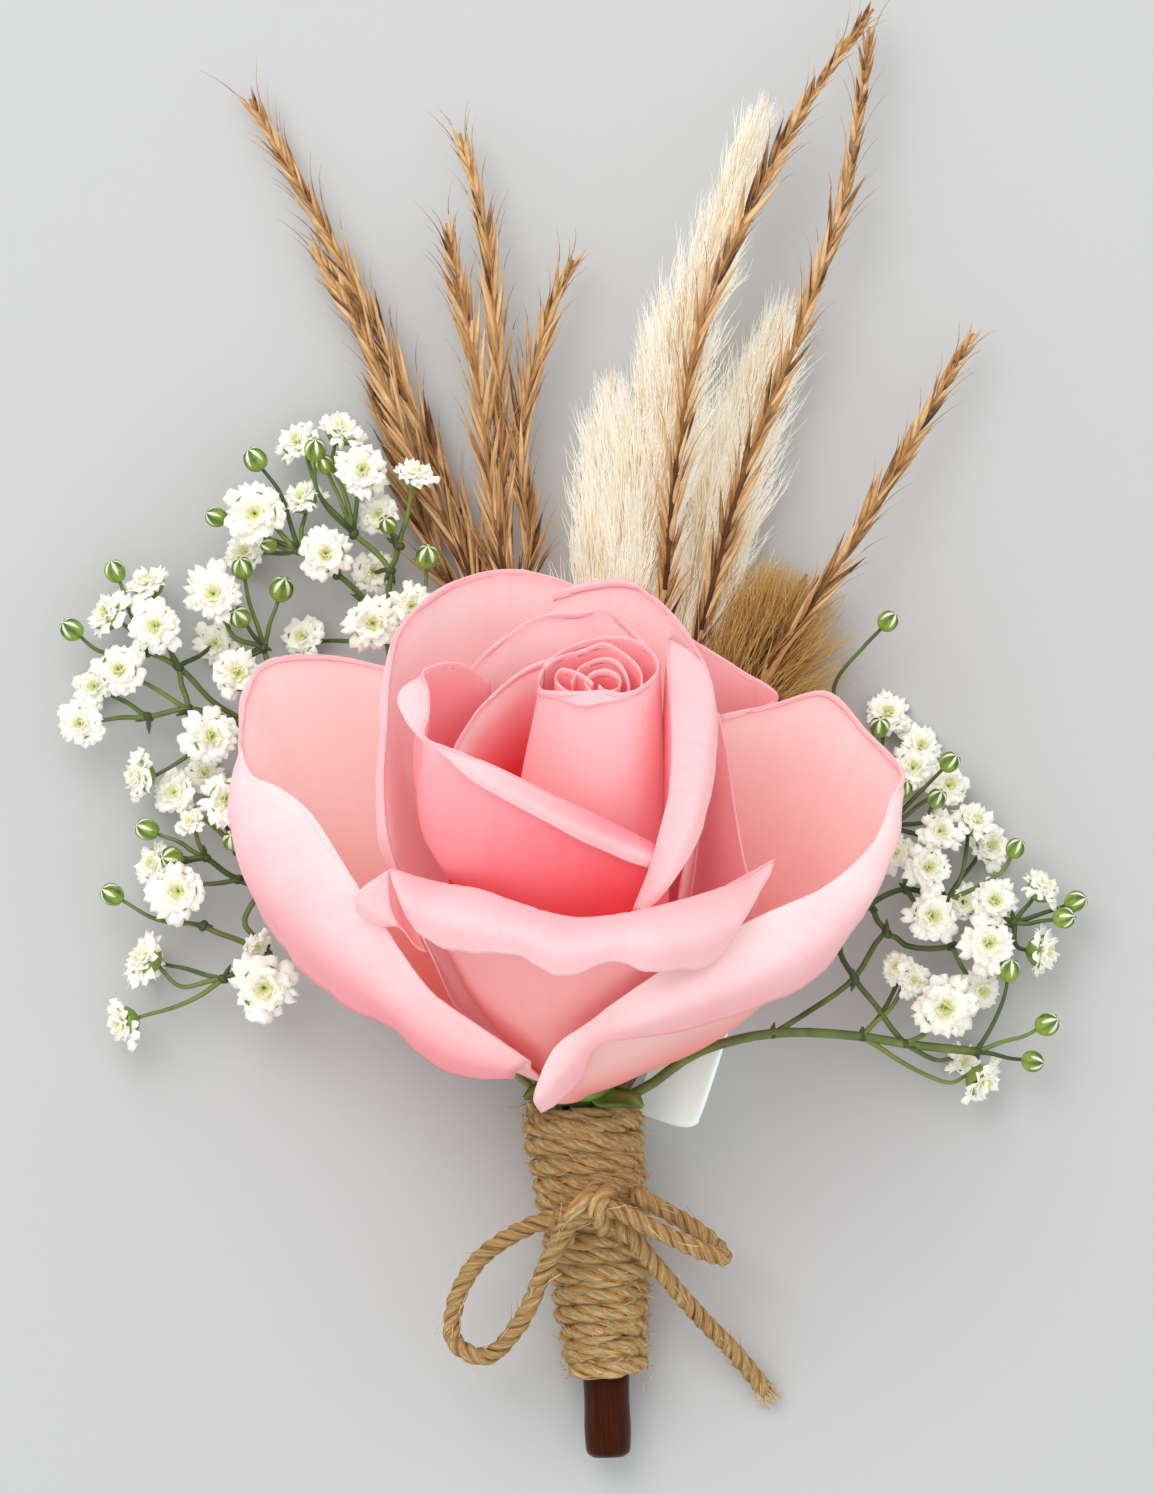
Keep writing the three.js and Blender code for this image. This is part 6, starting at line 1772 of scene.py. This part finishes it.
@dataclass
class Plume:
    """A soft plume: a slim spindle and tufts of fine hairs that sweep forward.

    A hair's point at share t is root + length (lean t + 0.3 (forward - lean) t²) with a small
    wave. The hair starts the start's share of the way along the stalk.
    """

    name: str
    hand: Hand
    slot: Slot
    start: float
    stops: tuple
    seed: int
    hairs: int = 2300
    long: float = 8.4
    spread: float = 0.62
    flat: float = 0.6
    thick: float = 0.10
    body: float = 2.6
    tuft: int = 13
    stalk_radius: float = 0.4
    points: int = 90

    def build(self, handle: Handle, stalk: bpy.types.Material, look: bpy.types.Material) -> None:
        """Makes the stalk piece and the hair piece."""
        rng = np.random.default_rng(self.seed)
        main = evened(handle.stem(self.hand, self.slot, self.stops, 80), self.points)
        first = int(self.points * self.start)
        radii = np.full(self.points, self.stalk_radius)
        t = np.linspace(0.05, 1, self.points - first)
        radii[first:] += 0.55 * self.body * np.sin(np.pi * t ** 0.7) - 0.25 * t
        piece(tubes(main, radii, 9, STALK_SIDE, own=0.35), self.name + "_stalk", stalk, self.name)
        piece(self.fur(main[first:], rng), self.name + "_hairs", look, self.name, replaces=False)

    def fur(self, head: Array, rng: np.random.Generator) -> Surface:
        """All hairs of the plume as thin tubes, gathered in tufts that share a root and a lean.

        Args:
            head: the part of the stalk that carries hair.
            rng: source of the random draws.
        Returns:
            The hairs, all of them rooted so that their tips end near the stalk's end.
        """
        n = self.hairs
        tufts = n // self.tuft
        tuft = rng.integers(0, tufts, n)

        def a_tuft(low: float, high: float) -> Array:
            """One even draw a tuft, the same for all its hairs."""
            return rng.uniform(low, high, tufts)[tuft]

        share = np.clip(a_tuft(0, 1) + rng.normal(size=n) * 0.012, 0, 1)
        foot = share * (lengths(head)[-1] - 0.6 * self.long)
        along = unit(points_at(head, foot + 0.8) - points_at(head, foot - 0.8))
        side = unit(np.cross(along, UP))
        up = np.cross(side, along)
        turn = a_tuft(0, 2 * np.pi) + rng.normal(size=n) * 0.3
        swell = np.sin(np.pi * (0.25 + 0.68 * share)) ** 0.8
        opening = self.spread * (0.25 + 0.75 * swell) * a_tuft(0.1, 1.15) * rng.uniform(0.75, 1.25, n)
        beside = side * np.cos(turn)[:, None] + up * (self.flat * np.sin(turn))[:, None]
        lean = unit(along + beside * opening[:, None])
        root = points_at(head, foot) + beside * (self.body * swell * a_tuft(0.1, 1) ** 0.6)[:, None]
        long = (self.long * (0.45 + 0.6 * swell) * rng.uniform(0.45, 1.1, n))[:, None, None]
        t = np.array([0, 0.3, 0.65, 1.0])[None, :, None]
        bend = unit(along + rng.normal(size=(n, 3)) * 0.2)[:, None] - lean[:, None]
        wave = rng.normal(size=(n, 1, 3)) * 0.05 * np.sin(2.6 * t * np.pi)
        path = root[:, None] + long * (lean[:, None] * t + bend * 0.3 * t * t) + wave * long * 0.5
        own = a_tuft(0, 1) ** 1.5 * 0.7 + rng.uniform(0, 0.3, n)
        radii = self.thick * (1 - 0.85 * t[..., 0])
        return tubes(off_table(path, 0.06), radii, 3, (0.05, 0.04, 1), own=own)


GRASSES = (
    Grass("grass_left", Hand.LEFT, Slot.LOW,
          ((520, 960, 2.8), (495, 800, 2.6), (484, 690, 2.6), (480, 620, 2.7)),
          (((478, 560, 2.8), (440, 470, 3), (400, 380, 3.2), (330, 240, 3), (250, 100, 2.2)),
           ((468, 570, 3.4), (420, 470, 4), (370, 350, 3.6), (315, 250, 2.6)),
           ((452, 585, 2.4), (425, 530, 2), (395, 450, 2), (365, 340, 2))), EarKind.TUFT, 31),
    Grass("grass_middle", Hand.LEFT, Slot.HIGH,
          ((545, 1000, 5.4), (530, 850, 4.2), (520, 700, 4.2), (515, 620, 4.6)),
          (((505, 570, 5), (500, 400, 5.6), (485, 230, 5), (460, 135, 4)),
           ((495, 520, 5.6), (478, 380, 6), (447, 225, 5)),
           ((530, 560, 5), (520, 450, 5.6), (545, 330, 5.6), (573, 262, 5))), EarKind.TUFT, 32),
    Grass("grass_right_tall", Hand.RIGHT, Slot.INNER,
          ((613, 1000, 4), (620, 850, 4), (645, 680, 5.2), (664, 590, 8.4)),
          (((674, 480, 12.2), (700, 330, 13.2), (770, 170, 11.5), (830, 70, 8), (872, 12, 5)),),
          EarKind.SPIKE, 33),
    Grass("grass_right_upper", Hand.RIGHT, Slot.SIDE,
          ((640, 1000, 4.6), (655, 850, 4.6), (680, 700, 5.4), (700, 630, 6.8)),
          (((745, 470, 8.4), (800, 330, 8), (845, 190, 7), (862, 80, 6), (868, 30, 5.4)),),
          EarKind.SPIKE, 34),
    Grass("grass_right_side", Hand.RIGHT, Slot.WIDE,
          ((668, 1010, 4.4), (700, 850, 4.6), (745, 720, 5.6), (768, 670, 7)),
          (((800, 620, 8.4), (840, 560, 8.4), (900, 460, 6.5), (972, 335, 4.5)),), EarKind.SPIKE, 35),
)
PLUMES = (
    Plume("plume_left", Hand.LEFT, Slot.INNER, 0.6,
          ((560, 1000, 4.4), (572, 850, 3.2), (590, 680, 2.6), (606, 560, 3), (612, 450, 3),
           (612, 370, 3.2)), 41),
    Plume("plume_middle", Hand.LEFT, Slot.CORE, 0.56,
          ((572, 1000, 5.3), (584, 850, 4.2), (608, 680, 4.4), (634, 580, 6.2), (650, 450, 6.6),
           (662, 290, 6.4)), 42),
    Plume("plume_tall", Hand.RIGHT, Slot.CORE, 0.48,
          ((600, 1000, 5.2), (600, 850, 5.2), (618, 680, 6), (640, 590, 7.4), (665, 480, 9.3),
           (690, 330, 10.2), (725, 220, 9.4), (770, 95, 7.5)), 43, hairs=3100, long=7.4, body=2.0),
    Plume("plume_right", Hand.RIGHT, Slot.LOW, 0.52,
          ((627, 1000, 2.6), (640, 850, 2.4), (670, 700, 2.8), (695, 620, 3.2), (720, 520, 3.4),
           (745, 430, 3.4), (795, 290, 3.6)), 44, hairs=3200, long=9.0, body=3.3),
)
BROWN_PLUME = Plume("plume_brown", Hand.RIGHT, Slot.HIGH, 0.68,
                    ((655, 1010, 6), (676, 850, 5.2), (722, 720, 4.6), (745, 690, 4.6), (775, 630, 4.8),
                     (806, 575, 4.8)), 45, hairs=2400, long=11.2, spread=1.2, body=2.4, tuft=20)


# The ribbon

@dataclass
class RibbonLoop:
    """White satin folded on itself: a smooth section carried across the ribbon's width."""

    corner: tuple = (12.05, -39.95, 9.8)
    along: tuple = (0.31, 0.951, 0.0)
    across: tuple = (-0.57, 0.186, -0.8)
    width: float = 10.0
    skew: float = 1.2
    thickness: float = 0.12
    section: tuple = ((13, 0), (9, 0.1), (5, 0.15), (2, 0.1), (0.7, -0.05), (0.15, -0.45),
                      (0.6, -0.9), (2, -1.05), (6, -1.1), (12, -1.0))

    def build(self, look: bpy.types.Material) -> None:
        """Makes the ribbon."""
        along = np.array(self.along)
        across = unit(np.array(self.across))
        out = np.cross(along, across)
        columns = 24
        section = spline(np.pad(np.array(self.section, float), ((0, 0), (0, 1))), 90)
        s, n, _ = section.T[..., None, None]
        t = shares(columns)
        sag = 0.7 * np.sin(np.pi * t) * np.sin(np.linspace(0, np.pi, len(s)))[:, None, None] ** 0.5
        tuck = 1.1 * np.exp(-t / 0.09) * np.exp(-s / 2.5)
        slide = self.skew * smooth(0.0, -1.0, n)
        grid = (np.array(self.corner) + s * along + (n + sag) * out
                + tuck * along + (t * self.width + slide) * across)
        long = float(lengths(grid[:, columns // 2])[-1])
        made = piece(sheet(grid), "ribbon_satin", look, "ribbon_loop", thickness=self.thickness)


# Stage

def camera() -> None:
    """Looks straight down from 1.3 m, framed as the photograph."""
    data = bpy.data.cameras.new("camera")
    made = bpy.data.objects.new("camera", data)
    bpy.context.scene.collection.objects.link(made)
    away = 1.3
    view_height = 0.1494
    made.location = (0.00045 + SHIFT[0] * MM, -0.00155 + SHIFT[1] * MM, away)
    data.sensor_width = 36.0
    data.lens = data.sensor_width * away / view_height
    data.clip_end = 10.0
    bpy.context.scene.camera = made


def stage() -> None:
    """Pale floor, even sky and one soft lamp at the upper left."""
    half = 2
    mesh = bpy.data.meshes.new("floor")
    mesh.from_pydata([(-half, -half, 0), (half, -half, 0), (half, half, 0), (-half, half, 0)], [],
                     [(0, 1, 2, 3)])
    floor = bpy.data.objects.new("floor", mesh)
    bpy.context.scene.collection.objects.link(floor)
    paper = Look("floor_paper")
    grain = paper.noise(paper.place(), 260.0, 4.0)
    mesh.materials.append(paper.surface(Base_Color=(0.548, 0.55, 0.54), Roughness=0.9,
                                        Normal=paper.bump(grain, 0.12, 0.0006)))
    world = bpy.data.worlds.new("sky")
    world.use_nodes = True
    sky = world.node_tree.nodes["Background"].inputs
    sky["Color"].default_value = (0.94, 0.957, 0.98, 1.0)
    sky["Strength"].default_value = 1.02
    bpy.context.scene.world = world
    lamp = bpy.data.lights.new("lamp", "AREA")
    lamp.size = 0.5
    lamp.energy = 2.05
    made = bpy.data.objects.new("lamp", lamp)
    made.location = (-0.22, 0.34, 0.60)
    made.rotation_mode = "QUATERNION"
    made.rotation_quaternion = (-Vector(made.location)).to_track_quat("-Z", "Y")
    bpy.context.scene.collection.objects.link(made)
    bpy.context.scene.view_settings.view_transform = "Standard"


def main() -> None:
    """Builds the boutonniere piece by piece, the camera and the cord first."""
    logging.basicConfig(level=logging.INFO, format="%(name)s %(message)s")
    handle = Handle()
    twine = Twine(lay=8.2)
    # The sleeve's twine is painted lighter than the bow's cord to make up for the shade inside the wrap.
    jute = TwineFinish().build()
    fibre = FibreFinish("jute_fibre", (0.66, 0.45, 0.22), (0.85, 0.64, 0.38)).build()
    camera()
    # The bow's cord: the same jute in deeper colours, while the sleeve's copy is painted lighter.
    cord = TwineFinish("jute_cord", (0.98, 0.64, 0.28), (0.62, 0.34, 0.12)).build()
    Bow(Twine(lay=4.9)).build(cord, fibre)
    wrap = TwineWrap(handle, twine)
    piece(wrap.build(), "twine_sleeve", jute, "twine_wrap")
    piece(wrap.fibres(), "twine_sleeve_fibres", fibre, "twine_wrap", replaces=False)
    piece(Stick(handle).build(), "dark_stick", WoodFinish().build(), "wooden_stick")
    RibbonLoop().build(SatinFinish().build())
    rose = Rose(RoseFrame(), handle)
    rose.build(PetalFinish().build())
    rose.build_hip(GreenFinish("rose_green", (0.22, 0.36, 0.06), (0.035, 0.085, 0.012)).build())
    looks = {
        "floret": FloretFinish().build(),
        "stalk": GreenFinish("thin_stalk", (0.20, 0.26, 0.05), (0.045, 0.072, 0.015)).build(),
        "calyx": GreenFinish("calyx_green", (0.21, 0.32, 0.05), (0.035, 0.085, 0.014)).build(),
        "bud": BudFinish().build(),
    }
    for spray in (LEFT_UPPER, LEFT_MIDDLE, LEFT_LOWER, RIGHT_SPRAY):
        spray.build(handle, looks)
    straw = StrawFinish().build()
    for grass in GRASSES:
        grass.build(handle, straw)
    stalk = StrawFinish("plume_stalk", (0.90, 0.78, 0.58), (0.80, 0.64, 0.42), (0.55, 0.40, 0.22)).build()
    ivory = FibreFinish("ivory_hair", (0.88, 0.74, 0.52), (0.99, 0.98, 0.92), 0.21).build()
    for plume in PLUMES:
        plume.build(handle, stalk, ivory)
    brown = FibreFinish("brown_hair", (0.23, 0.085, 0.012), (0.84, 0.53, 0.18), 0.04).build()
    BROWN_PLUME.build(handle, straw, brown)
    stage()
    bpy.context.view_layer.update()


if __name__ == "__main__":
    main()
